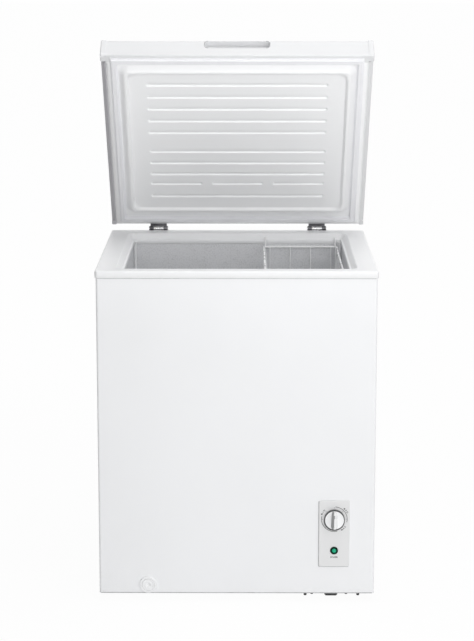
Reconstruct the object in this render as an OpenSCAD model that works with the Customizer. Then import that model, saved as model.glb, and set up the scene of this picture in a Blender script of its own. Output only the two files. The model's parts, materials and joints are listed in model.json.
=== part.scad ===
// Chest freezer with a lift-up lid, a hanging wire basket, a front thermostat and a floor drain.
// Origin at the centre of the cabinet's footprint, on the floor.
// X points to the right as seen from the front, Y to the rear, Z up. All sizes in millimetres.
// The lid is drawn closed in its own modules and then turned about the hinge pin by lid_open.

/* [Cabinet] */
// Width of the steel cabinet
cabinet_w = 624; // [580:1:900]
// Depth of the steel cabinet
cabinet_d = 525; // [490:1:640]
// Height of the steel cabinet without the top frame
cabinet_h = 731; // [700:1:820]
// Height of the cabinet's lower edge above the floor
ground_gap = 18; // [14:1:40]
// Thickness of the sheet steel
sheet_t = 1; // [0.6:0.1:1.4]
// Radius of the two upright front corners
cabinet_corner = 5; // [3:1:12]
// How far the steel cabinet reaches up inside the top frame
cabinet_tuck = 11; // [6:1:12]

/* [Top frame] */
// How far the moulded frame stands out past the cabinet
frame_lap = 2.5; // [1:0.5:4]
// Visible height of the frame above the cabinet
frame_rise = 16; // [14:1:24]
// Wall of the moulding
frame_t = 2; // [1.5:0.1:2.4]
// Flat seal band at the sides and the rear
side_band = 46; // [44:1:60]
// Flat seal band at the front
front_band = 30; // [28:1:50]
// Width of the slope inside the band
flare_w = 10; // [8:1:14]
// Drop of the slope
flare_drop = 12.7; // [10:0.1:13]
// Width of the ledge that carries the basket's hooks
ledge_w = 4; // [4:0.5:8]
// Height of the upright lip below the ledge
lip_drop = 11.3; // [8:0.1:20]
// Outer corner radius of the frame
frame_corner = 8; // [6:1:12]
// Rounding of the frame's outer top edge
frame_edge = 4; // [2:0.5:5]
// Corner radius of the opening at the lip
open_corner = 5; // [4:1:16]

/* [Liner] */
// Thickness of the embossed aluminium liner
liner_t = 1; // [0.5:0.1:1.5]
// Insulation under the liner's floor
floor_wall = 60; // [52:1:80]
// Width of the machine compartment at the right
machine_w = 180; // [172:1:200]
// Height of the machine compartment above the cabinet's lower edge
machine_h = 252; // [246:1:300]
// Insulation beside the machine compartment
step_wall = 44; // [30:1:60]
// Insulation above the machine compartment
step_roof = 50; // [40:1:70]

/* [Lid] */
// Angle by which the lid stands open
lid_open = 56; // [0:1:75]
// Thickness of the lid
lid_t = 57; // [50:1:70]
// Wall of the lid's outer shell
lid_shell_t = 1.5; // [1:0.1:2.5]
// Gap between the closed lid and the frame, taken up by the gasket
lid_gap = 9; // [8:0.5:12]
// How far the lid reaches past the frame at the rear
lid_over_rear = 2; // [1:0.5:4]
// How far the lid reaches past the frame at the front
lid_over_front = 3; // [1:0.5:8]
// Outer corner radius of the lid
lid_corner = 10; // [9:1:16]
// Rounding of the lid's upper edge
lid_edge = 8; // [4:1:9]
// Depth of the handle strip along the lid's front edge
handle_d = 21; // [20:1:23]
// Width of the grip recess in the handle strip
grip_w = 152; // [110:1:220]
// Height of the grip recess
grip_h = 26; // [22:1:30]
// Depth of the grip recess
grip_depth = 15; // [12:1:16]
// Lip left above the grip recess
grip_lip = 4; // [3:0.5:8]
// Width of each end cap
end_cap_w = 12; // [8:1:20]
// How far the end caps stand out past the strip
end_cap_proud = 1.5; // [0.5:0.5:3]
// Width of the bevelled trims along the lid's sides
trim_w = 11.5; // [8:0.5:14]
// Height of the bevelled trims
trim_h = 10; // [6:0.5:14]
// How deep the lid's inner liner reaches into the opening
plug_drop = 14; // [10:0.5:16]
// Width of the plug's sloping side
plug_flare = 13; // [10:0.5:14]
// Play between the plug's crown and the top of the frame's slope
plug_play = 6; // [6:0.5:12]
// Width of the raised rim round the plug's panel
plug_rim = 5; // [5:0.5:16]
// Corner radius of the plug's sunk panel
panel_corner = 17; // [8:1:30]
// Depth of the panel below the rim
panel_recess = 6; // [4:0.5:7]
// Width of the pressed grooves
groove_w = 10; // [6:0.5:14]
// Depth of the pressed grooves
groove_depth = 2.5; // [1.5:0.5:3]
// Distance of the grooves' ends from the panel's side
groove_margin = 45; // [20:1:60]
// Spacing of the grooves
groove_pitch = 36.3; // [30:0.1:50]
// Width of the lid gasket
gasket_w = 16; // [12:1:18]
// Air between the closed gasket and the frame
gasket_air = 0.3; // [0.2:0.1:1]

/* [Hinges] */
// Distance of each hinge's middle from the cabinet's side
hinge_inset = 114; // [60:1:160]
// Width of the hinge channel
hinge_w = 45; // [36:1:60]
// Steel of the hinge parts
hinge_t = 2; // [1.5:0.1:3]
// Height of the hinge channel below the cabinet's upper edge
hinge_drop = 95; // [80:1:140]
// Distance of the pin behind the frame
pin_back = 11.5; // [9:0.5:16]
// Height of the pin above the frame
pin_up = 2; // [0:0.5:4]
// Radius of the hinge pin
pin_r = 3; // [2.5:0.1:4]
// Radial play of the leaf on the pin
pin_play = 0.06; // [0.03:0.01:0.1]
// Side play of the leaf between the cheeks
leaf_play = 0.3; // [0.3:0.1:1]

/* [Basket] */
// Width of the basket's rim
basket_w = 179; // [140:1:200]
// Height of the basket
basket_h = 205; // [120:1:230]
// Gap between the basket's rim and the liner at the right
basket_side_gap = 10; // [4:1:30]
// Gap between the basket's rim and the lip, front and rear
basket_end_gap = 3; // [2:0.5:6]
// Depth of the rim below the ledge
basket_hang = 21; // [15:1:40]
// Radius of the rim wire
rim_wire = 2.5; // [2:0.1:3]
// Radius of the grid wires
grid_wire = 1.5; // [1:0.1:1.9]
// Spacing of the grid wires
grid_pitch = 50; // [30:1:60]
// Air under the hooks
hook_air = 0.3; // [0.2:0.1:1]

/* [Cooling] */
// Radius of the evaporator tube
evaporator_r = 4; // [3:0.5:5]
// Spacing of the evaporator's turns
evaporator_pitch = 80; // [60:1:100]
// Number of evaporator turns
evaporator_turns = 5; // [3:1:5]
// Radius of the condenser tube
condenser_r = 2.5; // [2:0.5:3]
// Spacing of the condenser's turns
condenser_pitch = 110; // [80:1:120]
// Number of condenser turns, always even
condenser_turns = 4; // [2:2:4]
// Radius of the compressor's pot
pot_r = 72; // [60:1:76]
// Height of the compressor's pot
pot_h = 160; // [140:1:180]
// Height of the rubber grommets under the compressor
grommet_h = 12; // [8:1:20]

/* [Controls] */
// Width of the control panel
panel_w = 69; // [62:1:80]
// Height of the control panel
panel_h = 155; // [140:1:180]
// Thickness of the control panel
panel_t = 3; // [2:0.5:4]
// Distance of the panel's right edge from the cabinet's right side
panel_side = 57; // [50:1:66]
// Height of the panel's lower edge above the cabinet's lower edge
panel_up = 65; // [45:1:80]
// Radius of the thermostat knob
knob_r = 23; // [18:0.5:26]
// Height of the thermostat knob
knob_h = 19; // [14:0.5:24]
// Height of the knob's centre above the panel's lower edge
knob_up = 112; // [100:1:116]
// Height of the lamp's centre above the panel's lower edge
lamp_up = 38; // [26:1:50]
// Radius of the lamp's bezel
bezel_r = 9; // [8:0.5:12]
// Radius of the lamp's lens
lens_r = 5.2; // [4:0.1:6]

/* [Drain] */
// Distance of the drain from the cabinet's left side
drain_side = 111; // [90:1:200]
// Height of the drain above the cabinet's lower edge
drain_up = 21; // [20:1:24]
// Radius of the drain's flange
drain_flange_r = 19.5; // [18:0.5:20]
// Radius of the drain's dial
drain_dial_r = 14; // [12:0.5:15]
// Play round the dial and its sleeve
drain_play = 0.3; // [0.2:0.1:0.6]
// Distance of the drain hole behind the liner's front wall
drain_back = 70; // [50:1:120]

/* [Feet] */
// Width of the front foot under the machine compartment
foot_w = 30; // [24:1:40]
// Depth of a foot
foot_d = 26; // [20:1:36]
// Distance of the right feet behind the cabinet's front and before its rear
foot_inset = 30; // [20:1:60]
// Distance of the left feet from the cabinet's front, rear and side
left_foot_inset = 66; // [50:1:90]

/* [Hidden] */
$fn = 48;
LEFT_RIGHT = [-1, 1];
TINY = 0.01;

// Cabinet limits
half_w = cabinet_w / 2;
half_d = cabinet_d / 2;
base_z = ground_gap;
seam_z = base_z + cabinet_h;
top_z = seam_z + frame_rise;
inner_x = half_w - sheet_t;
inner_y = half_d - sheet_t;
tuck_z = seam_z + cabinet_tuck;

// Top frame and its opening
frame_w = cabinet_w + 2 * frame_lap;
frame_d = cabinet_d + 2 * frame_lap;
frame_rear = frame_d / 2;
slope_w = flare_w + ledge_w;
open_w = frame_w - 2 * (side_band + slope_w);
open_d = frame_d - side_band - front_band - 2 * slope_w;
open_y = (front_band - side_band) / 2;
open_front = open_y - open_d / 2;
open_rear = open_y + open_d / 2;
ledge_z = top_z - flare_drop;
lip_z = ledge_z - lip_drop;

// Liner, one lip wall outside the opening
tub_w = open_w + 2 * frame_t;
tub_d = open_d + 2 * frame_t;
tub_corner = open_corner + frame_t;
tub_top = ledge_z - frame_t;
floor_z = base_z + floor_wall + liner_t;
machine_x = half_w - sheet_t - machine_w;
machine_z = base_z + machine_h;
step_x = machine_x - step_wall;
step_z = machine_z + step_roof;
well_w = step_x + tub_w / 2;
well_x = step_x - well_w / 2;

// Lid, in its own frame: origin at the middle of the closed lid's lower rear edge
lid_w = frame_w;
lid_d = frame_d + lid_over_rear + lid_over_front;
lid_rear = frame_rear + lid_over_rear;
lid_z = top_z + lid_gap;
strip_y = handle_d - lid_d;
trim_x = lid_w / 2 - trim_w;
band_w = open_w + 2 * slope_w;
band_d = open_d + 2 * slope_w;
crown_w = band_w - 2 * plug_play;
crown_d = band_d - 2 * plug_play;
crown_corner = open_corner + slope_w - plug_play;
plug_y = open_y - lid_rear;
pocket_w = crown_w - 2 * plug_rim;
pocket_d = crown_d - 2 * plug_rim;
panel_z = panel_recess - plug_drop;
panel_skin = groove_depth + 2;
flange_t = 2;
pocket_slope = 4;
groove_slope = 2.5;

// Gasket ring on the flat band
front_room = front_band - frame_edge - gasket_w;
side_room = side_band - frame_edge - gasket_w;
// shares of that room between the slope and the gasket: front, rear and sides
gasket_back = [0.9, 0.8, 0.33];
gasket_front = -lid_rear + open_front - slope_w - front_room * gasket_back[0] - gasket_w / 2;
gasket_rear = -lid_rear + open_rear + slope_w + side_room * gasket_back[1] + gasket_w / 2;
gasket_ring_w = band_w + gasket_w + 2 * side_room * gasket_back[2];
gasket_ring_d = gasket_rear - gasket_front;
gasket_y = (gasket_rear + gasket_front) / 2;
gasket_h = lid_gap - gasket_air;

// Hinge pin
hinge_x = half_w - hinge_inset;
pin_y = frame_rear + pin_back;
pin_z = top_z + pin_up;
knuckle_r = pin_r + 3;
cheek_r = knuckle_r + 0.6;
channel_z = seam_z - hinge_drop;
leaf_w = hinge_w - 2 * hinge_t - 2 * leaf_play;
leaf_rise = 44;
ear_w = 9;
screw_r = 2;
screw_head_r = 4;
screw_head_h = 2.4;
cover_screw_l = 9;

// Basket
hook_z = ledge_z + rim_wire + hook_air;
rim_z = hook_z - basket_hang;
basket_right = tub_w / 2 - basket_side_gap - rim_wire;
basket_x = basket_right - basket_w / 2;
basket_d = open_d - 2 * (basket_end_gap + rim_wire);
basket_corner = 4;
hook_reach = basket_end_gap + rim_wire + ledge_w - 0.5;
weld_sink = 0.25;

// Refrigeration runs
tube_gap = 0.1;
groove_air = 0.3;
evaporator_x = tub_w / 2 + liner_t + evaporator_r + tube_gap;
evaporator_front = open_y - tub_d / 2 - liner_t - evaporator_r - tube_gap;
evaporator_rear = open_y + tub_d / 2 + liner_t + evaporator_r + tube_gap;
evaporator_top = seam_z - 40;
evaporator_gap = [tub_w / 2 - 74, tub_w / 2 - 44];
evaporator_bend = 10;
condenser_x = inner_x - condenser_r - tube_gap;
condenser_front = -inner_y + condenser_r + tube_gap;
condenser_top = seam_z - 55;
condenser_return = inner_y - 47;
condenser_bend = 12;
liquid_y = inner_y - 12;
gas_y = inner_y - 27;
pipe_end_z = machine_z - 8;

// Machine compartment
machine_mid = machine_x + machine_w / 2;
tray_t = 2;
tray_top = base_z;
tray_left = machine_x - 12;
plate_t = 3;
plate_z = tray_top + grommet_h;
pot_z = plate_z + plate_t;
pot_y = 45;
pot_round = 20;
pot_seam = pot_h * 0.55;
mount_pitch = [104, 124];
grommet_r = 9;
mount_bolt_r = 3.5;
stub_y = pot_y + pot_r + 12;
stub_z = pot_z + pot_h * 0.72;
stub_r = 4;
suction_x = evaporator_gap[1];
discharge_x = suction_x + 30;
drier_x = discharge_x + 22;
drier_y = liquid_y;
drier_r = 9;
drier_top = pipe_end_z - 32;
drier_len = 90;
capillary_r = 1.2;
capillary_x = evaporator_gap[0] + 15;
capillary_low = drier_top - drier_len - 22;

// Controls
panel_x = half_w - panel_side - panel_w / 2;
panel_low = base_z + panel_up;
panel_front = -half_d - panel_t;
box_w = panel_w - 8;
box_h = panel_h - 10;
box_d = 46;
box_t = 2;
knob_z = panel_low + knob_up;
knob_gap = 0.5;
shaft_r = 3;
shaft_play = 0.06;
neck_r = 4.8;
lamp_z = panel_low + lamp_up;

// Drain
drain_x = -half_w + drain_side;
drain_z = base_z + drain_up;
drain_pipe_r = 11;
drain_bore_r = 9;
drain_hole_y = open_front + drain_back;
drain_cup_d = 55;
drain_neck_r = drain_dial_r + drain_play + 2;
drain_neck_d = 9;
dial_face = 1;
dial_t = 5;
sleeve_len = 44;
plug_head_r = 16;
plug_head_h = 4;

// Feet
foot_h = tray_top - tray_t;

// Rear cover over the machine compartment
cover_w = machine_w - 12;
cover_low = base_z + 18;

// Middle of the side louvres and their lowest row
louvre_y = pot_y - 60;
louvre_z = base_z + 46;
cover_h = machine_h - 26;
cover_t = 2;
gland_r = 7;

// ---------- Shared shapes ----------

function unit(v) = v / norm(v);

// Rectangle with round corners, centred
module rounded_rect(w, d, r) {
    square([w, d - 2 * r], center = true);
    square([w - 2 * r, d], center = true);
    for (sx = LEFT_RIGHT, sy = LEFT_RIGHT)
        translate([sx * (w / 2 - r), sy * (d / 2 - r)]) circle(r = r);
}

// Upright plate with the outline of a rounded rectangle
module rounded_plate(w, d, h, r) {
    linear_extrude(h) rounded_rect(w, d, r);
}

// Runs a section round a rounded rectangle w by d with corner radius r.
// The section's x counts outwards from the corner's centre, its y is the height.
module run_round(w, d, r) {
    for (quarter = [0 : 3]) {
        reach_x = (quarter % 2 == 0 ? w : d) / 2 - r;
        reach_y = (quarter % 2 == 0 ? d : w) / 2 - r;
        rotate(quarter * 90) translate([reach_x, reach_y, 0]) {
            rotate([90, 0, 0]) linear_extrude(2 * reach_y) children();
            rotate_extrude(angle = 90) children();
        }
    }
}

// Slab with round corners and a rolled upper edge
module rolled_slab(w, d, h, corner, edge) {
    translate([corner - w / 2, corner - d / 2, 0]) cube([w - 2 * corner, d - 2 * corner, h]);
    run_round(w, d, corner) {
        square([corner, h - edge]);
        square([corner - edge, h]);
        translate([corner - edge, h - edge]) intersection() {
            circle(r = edge);
            square(edge);
        }
    }
}

// Block w by d at its foot whose sides lean outwards by flare over its height
module flared_block(w, d, h, corner, flare) {
    translate([corner - w / 2, corner - d / 2, 0]) cube([w - 2 * corner, d - 2 * corner, h]);
    run_round(w, d, corner) polygon([[0, 0], [corner, 0], [corner + flare, h], [0, h]]);
}

// Carries a shape that stands along Z onto a direction
module along(dir) {
    rotate([0, acos(dir.z / norm(dir)), atan2(dir.y, dir.x)]) children();
}

// Angle by which a path turns at one of its points, and the length that the bend takes there
function turn_at(path, i) = acos(unit(path[i] - path[i - 1]) * unit(path[i + 1] - path[i]));
function setback(path, i, bend) =
    i == 0 || i == len(path) - 1 ? 0 : bend * tan(turn_at(path, i) / 2);

// Bend of a tube at point i of its path
module elbow(path, i, radius, bend) {
    before = unit(path[i] - path[i - 1]);
    after = unit(path[i + 1] - path[i]);
    inward = unit(after - before * (before * after));
    centre = path[i] - before * setback(path, i, bend) + inward * bend;
    axis = cross(-inward, before);
    multmatrix([
        [-inward.x, before.x, axis.x, centre.x],
        [-inward.y, before.y, axis.y, centre.y],
        [-inward.z, before.z, axis.z, centre.z]
    ])
        rotate_extrude(angle = turn_at(path, i)) translate([bend, 0]) circle(r = radius);
}

// Round tube, rod or wire bent along a path
module tube_run(path, radius, bend) {
    last = len(path) - 1;
    for (i = [0 : last - 1]) {
        dir = unit(path[i + 1] - path[i]);
        from = path[i] + dir * setback(path, i, bend);
        to = path[i + 1] - dir * setback(path, i + 1, bend);
        translate(from) along(dir) cylinder(r = radius, h = norm(to - from));
        if (i + 1 < last) elbow(path, i + 1, radius, bend);
    }
}

// Pan-head screw: the head stands out along +Z, the shank goes down
module screw(head_r, head_h, shank_r, shank_l) {
    cylinder(r1 = head_r, r2 = head_r * 0.7, h = head_h);
    translate([0, 0, -shank_l]) cylinder(r = shank_r, h = shank_l);
}

// Slot with round ends, length along X, cut towards +Z
module slot(length, width, depth) {
    linear_extrude(depth) {
        square([length - width, width], center = true);
        for (side = LEFT_RIGHT) translate([side * (length - width) / 2, 0]) circle(d = width);
    }
}

// Turns a shape drawn with the lid closed to the lid's open position
module opened() {
    translate([0, pin_y, pin_z]) rotate([-lid_open, 0, 0]) translate([0, -pin_y, -pin_z])
        children();
}

// Places a shape drawn in the lid's own frame
module in_lid() {
    opened() translate([0, lid_rear, lid_z]) children();
}

// ---------- Cabinet ----------

// Louvre openings in the right side of the machine compartment
module side_louvres() {
    rows = 9;
    pitch = 20;
    length = 66;
    height = 6;
    for (row = [0 : rows - 1], column = [-1, 0, 1])
        translate([half_w - 2 * sheet_t, louvre_y + column * (length + 18), louvre_z + row * pitch])
            rotate([0, 90, 0]) rotate(90) slot(length, height, 3 * sheet_t);
}

// The cabinet's outline: rounded at the front, nearly square at the rear
module cabinet_outline() {
    rounded_rect(cabinet_w, cabinet_d, cabinet_corner);
    translate([0, half_d / 2]) rounded_rect(cabinet_w, half_d, sheet_t);
}

// Outline inside the cabinet's sheet, square at the rear
module inside_outline(rear) {
    rounded_rect(2 * inner_x, 2 * inner_y, cabinet_corner - sheet_t);
    translate([-inner_x, 0]) square([2 * inner_x, rear]);
}

module outer_wrapper() {
    color("white") difference() {
        translate([0, 0, base_z]) linear_extrude(tuck_z - base_z) difference() {
            cabinet_outline();
            inside_outline(half_d + 1);
        }
        side_louvres();
        translate([panel_x, -inner_y, panel_low + panel_h / 2]) rotate([90, 0, 0])
            rounded_plate(box_w, box_h, 2 * sheet_t, 4);
        translate([drain_x, -inner_y + 1, drain_z]) rotate([90, 0, 0])
            cylinder(r = drain_neck_r, h = 3 * sheet_t);
    }
}

module rear_panel() {
    bead_w = 14;
    color("gainsboro") difference() {
        union() {
            translate([-inner_x, inner_y, base_z]) cube([2 * inner_x, sheet_t, tuck_z - base_z]);
            // pressed stiffening beads
            for (x = [-hinge_x + 90, 0, hinge_x - 90])
                translate([x, inner_y + sheet_t, base_z + 330]) rotate([90, 0, 0])
                    translate([0, 0, -1.5]) rotate(90) slot(420, bead_w, 1.5);
        }
        translate([machine_mid, inner_y - 1, cover_low + cover_h / 2]) rotate([-90, 0, 0])
            rounded_plate(cover_w - 20, cover_h - 20, sheet_t + 2, 6);
        at_cover_corners() translate([0, 0, -cover_screw_l]) cylinder(r = screw_r, h = cover_screw_l);
    }
}

// Formed floor sheet with the step that makes the machine compartment
module bottom_panel() {
    color("gainsboro") difference() {
        intersection() {
            translate([0, 0, base_z]) linear_extrude(machine_z) inside_outline(inner_y);
            translate([0, inner_y, 0]) rotate([90, 0, 0]) linear_extrude(2 * inner_y) polygon([
                [-inner_x, base_z], [machine_x, base_z], [machine_x, machine_z - sheet_t],
                [inner_x, machine_z - sheet_t], [inner_x, machine_z],
                [machine_x - sheet_t, machine_z], [machine_x - sheet_t, base_z + sheet_t],
                [-inner_x, base_z + sheet_t]
            ]);
        }
        for (y = [liquid_y, gas_y])
            translate([condenser_x, y, machine_z - 5]) cylinder(r = condenser_r, h = 10);
        translate([suction_x, evaporator_rear, machine_z - 5]) cylinder(r = evaporator_r, h = 10);
        translate([capillary_x, evaporator_rear, machine_z - 5]) cylinder(r = capillary_r, h = 10);
    }
}

// Section of the frame's inner side: slope, ledge and lip
module frame_slope_section() {
    c = open_corner;
    polygon([
        [c, lip_z], [c, ledge_z], [c + ledge_w, ledge_z], [c + slope_w, top_z],
        [c + slope_w + 4, top_z], [c + slope_w + 4, top_z - frame_t],
        [c + slope_w + frame_t, top_z - frame_t], [c + ledge_w + frame_t, ledge_z - frame_t],
        [c + frame_t, ledge_z - frame_t], [c + frame_t, lip_z]
    ]);
}

module top_frame() {
    seam_w = band_w + 8;
    seam_d = band_d + 8;
    seam_corner = open_corner + slope_w + 4;
    color("whitesmoke") {
        difference() {
            translate([0, 0, seam_z])
                rolled_slab(frame_w, frame_d, frame_rise, frame_corner, frame_edge);
            translate([0, 0, seam_z - 1]) linear_extrude(frame_rise - frame_t + 1) cabinet_outline();
            translate([0, open_y, seam_z]) rounded_plate(seam_w, seam_d, frame_rise + 1, seam_corner);
        }
        translate([0, open_y, 0]) run_round(open_w, open_d, open_corner) frame_slope_section();
    }
}

// The tub's outline, grown by a wall
module tub(grow, low, high) {
    translate([0, open_y, step_z - grow])
        rounded_plate(tub_w + 2 * grow, tub_d + 2 * grow, high - step_z + grow, tub_corner + grow);
    translate([well_x, open_y, floor_z - grow])
        rounded_plate(well_w + 2 * grow, tub_d + 2 * grow, step_z - floor_z + low, tub_corner + grow);
}

// Everything inside the sheet that is wrapped round the tub
module inside_wrap() {
    translate([0, open_y, 0]) rounded_plate(tub_w, tub_d, top_z, tub_corner);
}

// Embossed sheet wrapped round the tub, its lower edge stepped
module inner_liner() {
    color("darkgray") difference() {
        tub(liner_t, 0, tub_top);
        inside_wrap();
    }
}

// Embossed pan: the well's floor, the riser and the shelf over the machine compartment
module liner_floor() {
    color("darkgray") difference() {
        union() {
            translate([well_x, open_y, floor_z - liner_t])
                rounded_plate(well_w, tub_d, liner_t, tub_corner);
            intersection() {
                difference() {
                    tub(liner_t, 0, step_z);
                    tub(0, 1, tub_top);
                }
                inside_wrap();
                // only from the riser's rounded ends to the right
                translate([well_x + (well_w - tub_corner) / 2, -half_d, 0])
                    cube([tub_w, cabinet_d, tub_top]);
            }
        }
        translate([drain_x, drain_hole_y, floor_z - 5]) cylinder(r = drain_bore_r, h = 10);
    }
}

// Level of one turn of a coil, counted from the top
function level(top, pitch, i) = top - i * pitch;

evaporator_low = level(evaporator_top, evaporator_pitch, evaporator_turns - 1);
condenser_low = level(condenser_top, condenser_pitch, condenser_turns - 1);

module foam_insulation() {
    groove = 2 * (evaporator_r + tube_gap) + groove_air;
    shallow = 2 * condenser_r + tube_gap + groove_air;
    color("khaki") difference() {
        translate([0, 0, base_z + sheet_t]) linear_extrude(top_z - frame_t - base_z - sheet_t)
            inside_outline(inner_y);
        tub(liner_t, 0, tub_top);
        // room for the frame's slope
        translate([0, open_y, tub_top])
            rounded_plate(band_w + 8, band_d + 8, frame_rise + 10, open_corner + slope_w + 4);
        // machine compartment
        translate([machine_x - sheet_t, -half_d, 0]) cube([cabinet_w, cabinet_d, machine_z]);
        // evaporator turns round the liner
        for (i = [0 : evaporator_turns - 1])
            translate([0, open_y, level(evaporator_top, evaporator_pitch, i) - groove / 2])
                rounded_plate(tub_w + 2 * (liner_t + groove), tub_d + 2 * (liner_t + groove), groove,
                    evaporator_bend + evaporator_r);
        translate([evaporator_gap[0] - groove, evaporator_rear - groove, evaporator_low - groove / 2])
            cube([evaporator_gap[1] - evaporator_gap[0] + 2 * groove, 1.6 * groove,
                evaporator_top - evaporator_low + groove]);
        translate([evaporator_gap[0] - groove, evaporator_rear - groove / 2, machine_z - 1])
            cube([evaporator_gap[1] - evaporator_gap[0] + 2 * groove, groove,
                evaporator_low - machine_z]);
        // condenser turns behind the cabinet's skin
        for (i = [0 : condenser_turns - 1]) difference() {
            translate([-half_w, -half_d, level(condenser_top, condenser_pitch, i) - shallow / 2])
                cube([cabinet_w, cabinet_d - 30, shallow]);
            linear_extrude(top_z) {
                rounded_rect(2 * (inner_x - shallow), 2 * (inner_y - shallow),
                    condenser_bend - condenser_r - groove_air);
                translate([shallow - inner_x, 0]) square([2 * (inner_x - shallow), cabinet_d]);
            }
        }
        for (side = LEFT_RIGHT)
            translate([side * (inner_x - shallow / 2) - shallow / 2,
                condenser_return - condenser_bend, side < 0 ? condenser_low - shallow : machine_z - 1])
                cube([shallow, liquid_y - condenser_return + condenser_bend + shallow,
                    condenser_top - (side < 0 ? condenser_low : machine_z) + 2 * shallow]);
        // drain
        translate([drain_x, drain_hole_y, drain_z]) cylinder(r = drain_pipe_r, h = floor_wall);
        translate([drain_x, drain_hole_y + drain_pipe_r, drain_z]) rotate([90, 0, 0])
            cylinder(r = drain_pipe_r + 3, h = cabinet_d);
        translate([drain_x, drain_neck_d - half_d, drain_z]) rotate([90, 0, 0])
            cylinder(r = drain_neck_r, h = drain_neck_d);
    }
}

// ---------- Refrigeration ----------

// One evaporator turn from one end of the rear gap round the liner to the other
function evaporator_turn(z, from, to) = let (s = from > to ? 1 : -1) [
    [from, evaporator_rear, z], [s * evaporator_x, evaporator_rear, z],
    [s * evaporator_x, evaporator_front, z], [-s * evaporator_x, evaporator_front, z],
    [-s * evaporator_x, evaporator_rear, z], [to, evaporator_rear, z]
];

evaporator_path = concat(
    [for (i = [0 : evaporator_turns - 1])
        let (z = level(evaporator_top, evaporator_pitch, i), even = i % 2 == 0)
        each evaporator_turn(z, evaporator_gap[even ? 0 : 1], evaporator_gap[even ? 1 : 0])],
    [[suction_x, evaporator_rear, pipe_end_z]]
);

module evaporator_coil() {
    color("silver") tube_run(evaporator_path, evaporator_r, evaporator_bend);
}

// One condenser turn along a side, the front and the other side, starting at side s
function condenser_turn(z, s, first_y, last_y) = [
    [s * condenser_x, first_y, z], [s * condenser_x, condenser_front, z],
    [-s * condenser_x, condenser_front, z], [-s * condenser_x, last_y, z]
];

condenser_path = concat(
    [[condenser_x, liquid_y, pipe_end_z]],
    [for (i = [0 : condenser_turns - 1])
        let (z = level(condenser_top, condenser_pitch, i), even = i % 2 == 0)
        each condenser_turn(z, even ? 1 : -1, i == 0 ? liquid_y : condenser_return,
            i == condenser_turns - 1 ? gas_y : condenser_return)],
    [[condenser_x, gas_y, pipe_end_z]]
);

module condenser_coil() {
    color("darkorange") tube_run(condenser_path, condenser_r, condenser_bend);
}

// Places a shape at each of the compressor's four mounting points
module at_mounts() {
    for (sx = LEFT_RIGHT, sy = LEFT_RIGHT)
        translate([machine_mid + sx * mount_pitch.x / 2, pot_y + sy * mount_pitch.y / 2, 0])
            children();
}

module pot_section() {
    square([pot_r - pot_round, pot_h]);
    translate([0, pot_round]) square([pot_r, pot_h - 2 * pot_round]);
    for (y = [pot_round, pot_h - pot_round])
        translate([pot_r - pot_round, y]) intersection() {
            circle(r = pot_round);
            translate([0, -pot_round]) square([pot_round, 2 * pot_round]);
        }
    translate([0, pot_seam]) square([pot_r + 3, 4]);
}

module compressor() {
    color("dimgray") difference() {
        union() {
            translate([machine_mid, pot_y, pot_z]) rotate_extrude() pot_section();
            translate([machine_mid, pot_y, plate_z])
                rounded_plate(mount_pitch.x + 30, mount_pitch.y + 30, plate_t, 12);
            for (x = [suction_x, discharge_x])
                translate([x, stub_y, stub_z]) rotate([90, 0, 0]) cylinder(r = stub_r, h = 30);
        }
        at_mounts() translate([0, 0, plate_z - 1]) cylinder(r = mount_bolt_r, h = plate_t + 2);
    }
}

module compressor_grommets() {
    color("black") at_mounts() translate([0, 0, tray_top]) rotate_extrude() polygon([
        [mount_bolt_r, 0], [grommet_r, 0], [grommet_r, grommet_h * 0.4],
        [grommet_r - 2, grommet_h * 0.5], [grommet_r, grommet_h * 0.6],
        [grommet_r, grommet_h], [mount_bolt_r, grommet_h]
    ]);
}

module compressor_bolts() {
    head_h = 4;
    clip_h = 3;
    color("gray") at_mounts() {
        translate([0, 0, tray_top - tray_t - head_h]) cylinder(r = 6, h = head_h, $fn = 6);
        translate([0, 0, tray_top - tray_t])
            cylinder(r = mount_bolt_r, h = tray_t + grommet_h + plate_t + clip_h + 3);
        translate([0, 0, plate_z + plate_t]) cylinder(r = 7, h = clip_h);
    }
}

// Points on the tray's front and rear edges where it is screwed to the cabinet
tray_screw_x = [machine_x + 25, machine_x + 39, half_w - 62, half_w - 36];

module at_tray_screws() {
    for (x = tray_screw_x, y = [-half_d + 38, half_d - 12]) translate([x, y, 0]) children();
}

module compressor_tray() {
    color("silver") difference() {
        translate([tray_left, -half_d + foot_inset, tray_top - tray_t])
            cube([half_w - tray_left, cabinet_d - foot_inset, tray_t]);
        at_mounts() translate([0, 0, tray_top - tray_t - 1])
            cylinder(r = mount_bolt_r, h = tray_t + 2);
        at_tray_screws() translate([0, 0, tray_top - tray_t - 1]) cylinder(r = 2.5, h = tray_t + 2);
    }
}

module tray_screws() {
    color("black") at_tray_screws() translate([0, 0, tray_top - tray_t]) mirror([0, 0, 1]) {
        cylinder(r = 5, h = 4.5, $fn = 6);
        translate([0, 0, -tray_t - 4]) cylinder(r = 2.5, h = tray_t + 4);
    }
}

module terminal_cover() {
    width = 56;
    depth = 34;
    sunk = 12;
    height = 60;
    color("black") difference() {
        translate([machine_mid, pot_y - pot_r - depth / 2 + sunk, pot_z + pot_seam - height - 3])
            rolled_slab(width, depth, height, 6, 4);
        translate([machine_mid, pot_y, pot_z]) cylinder(r = pot_r, h = pot_h);
    }
}

module discharge_pipe() {
    color("peru") tube_run([
        [discharge_x, stub_y, stub_z], [discharge_x, gas_y, stub_z],
        [condenser_x, gas_y, stub_z], [condenser_x, gas_y, pipe_end_z]
    ], condenser_r, 12);
}

module suction_pipe() {
    color("peru") tube_run([
        [suction_x, evaporator_rear, pipe_end_z], [suction_x, evaporator_rear, stub_z],
        [suction_x, stub_y, stub_z]
    ], evaporator_r, 14);
}

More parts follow.
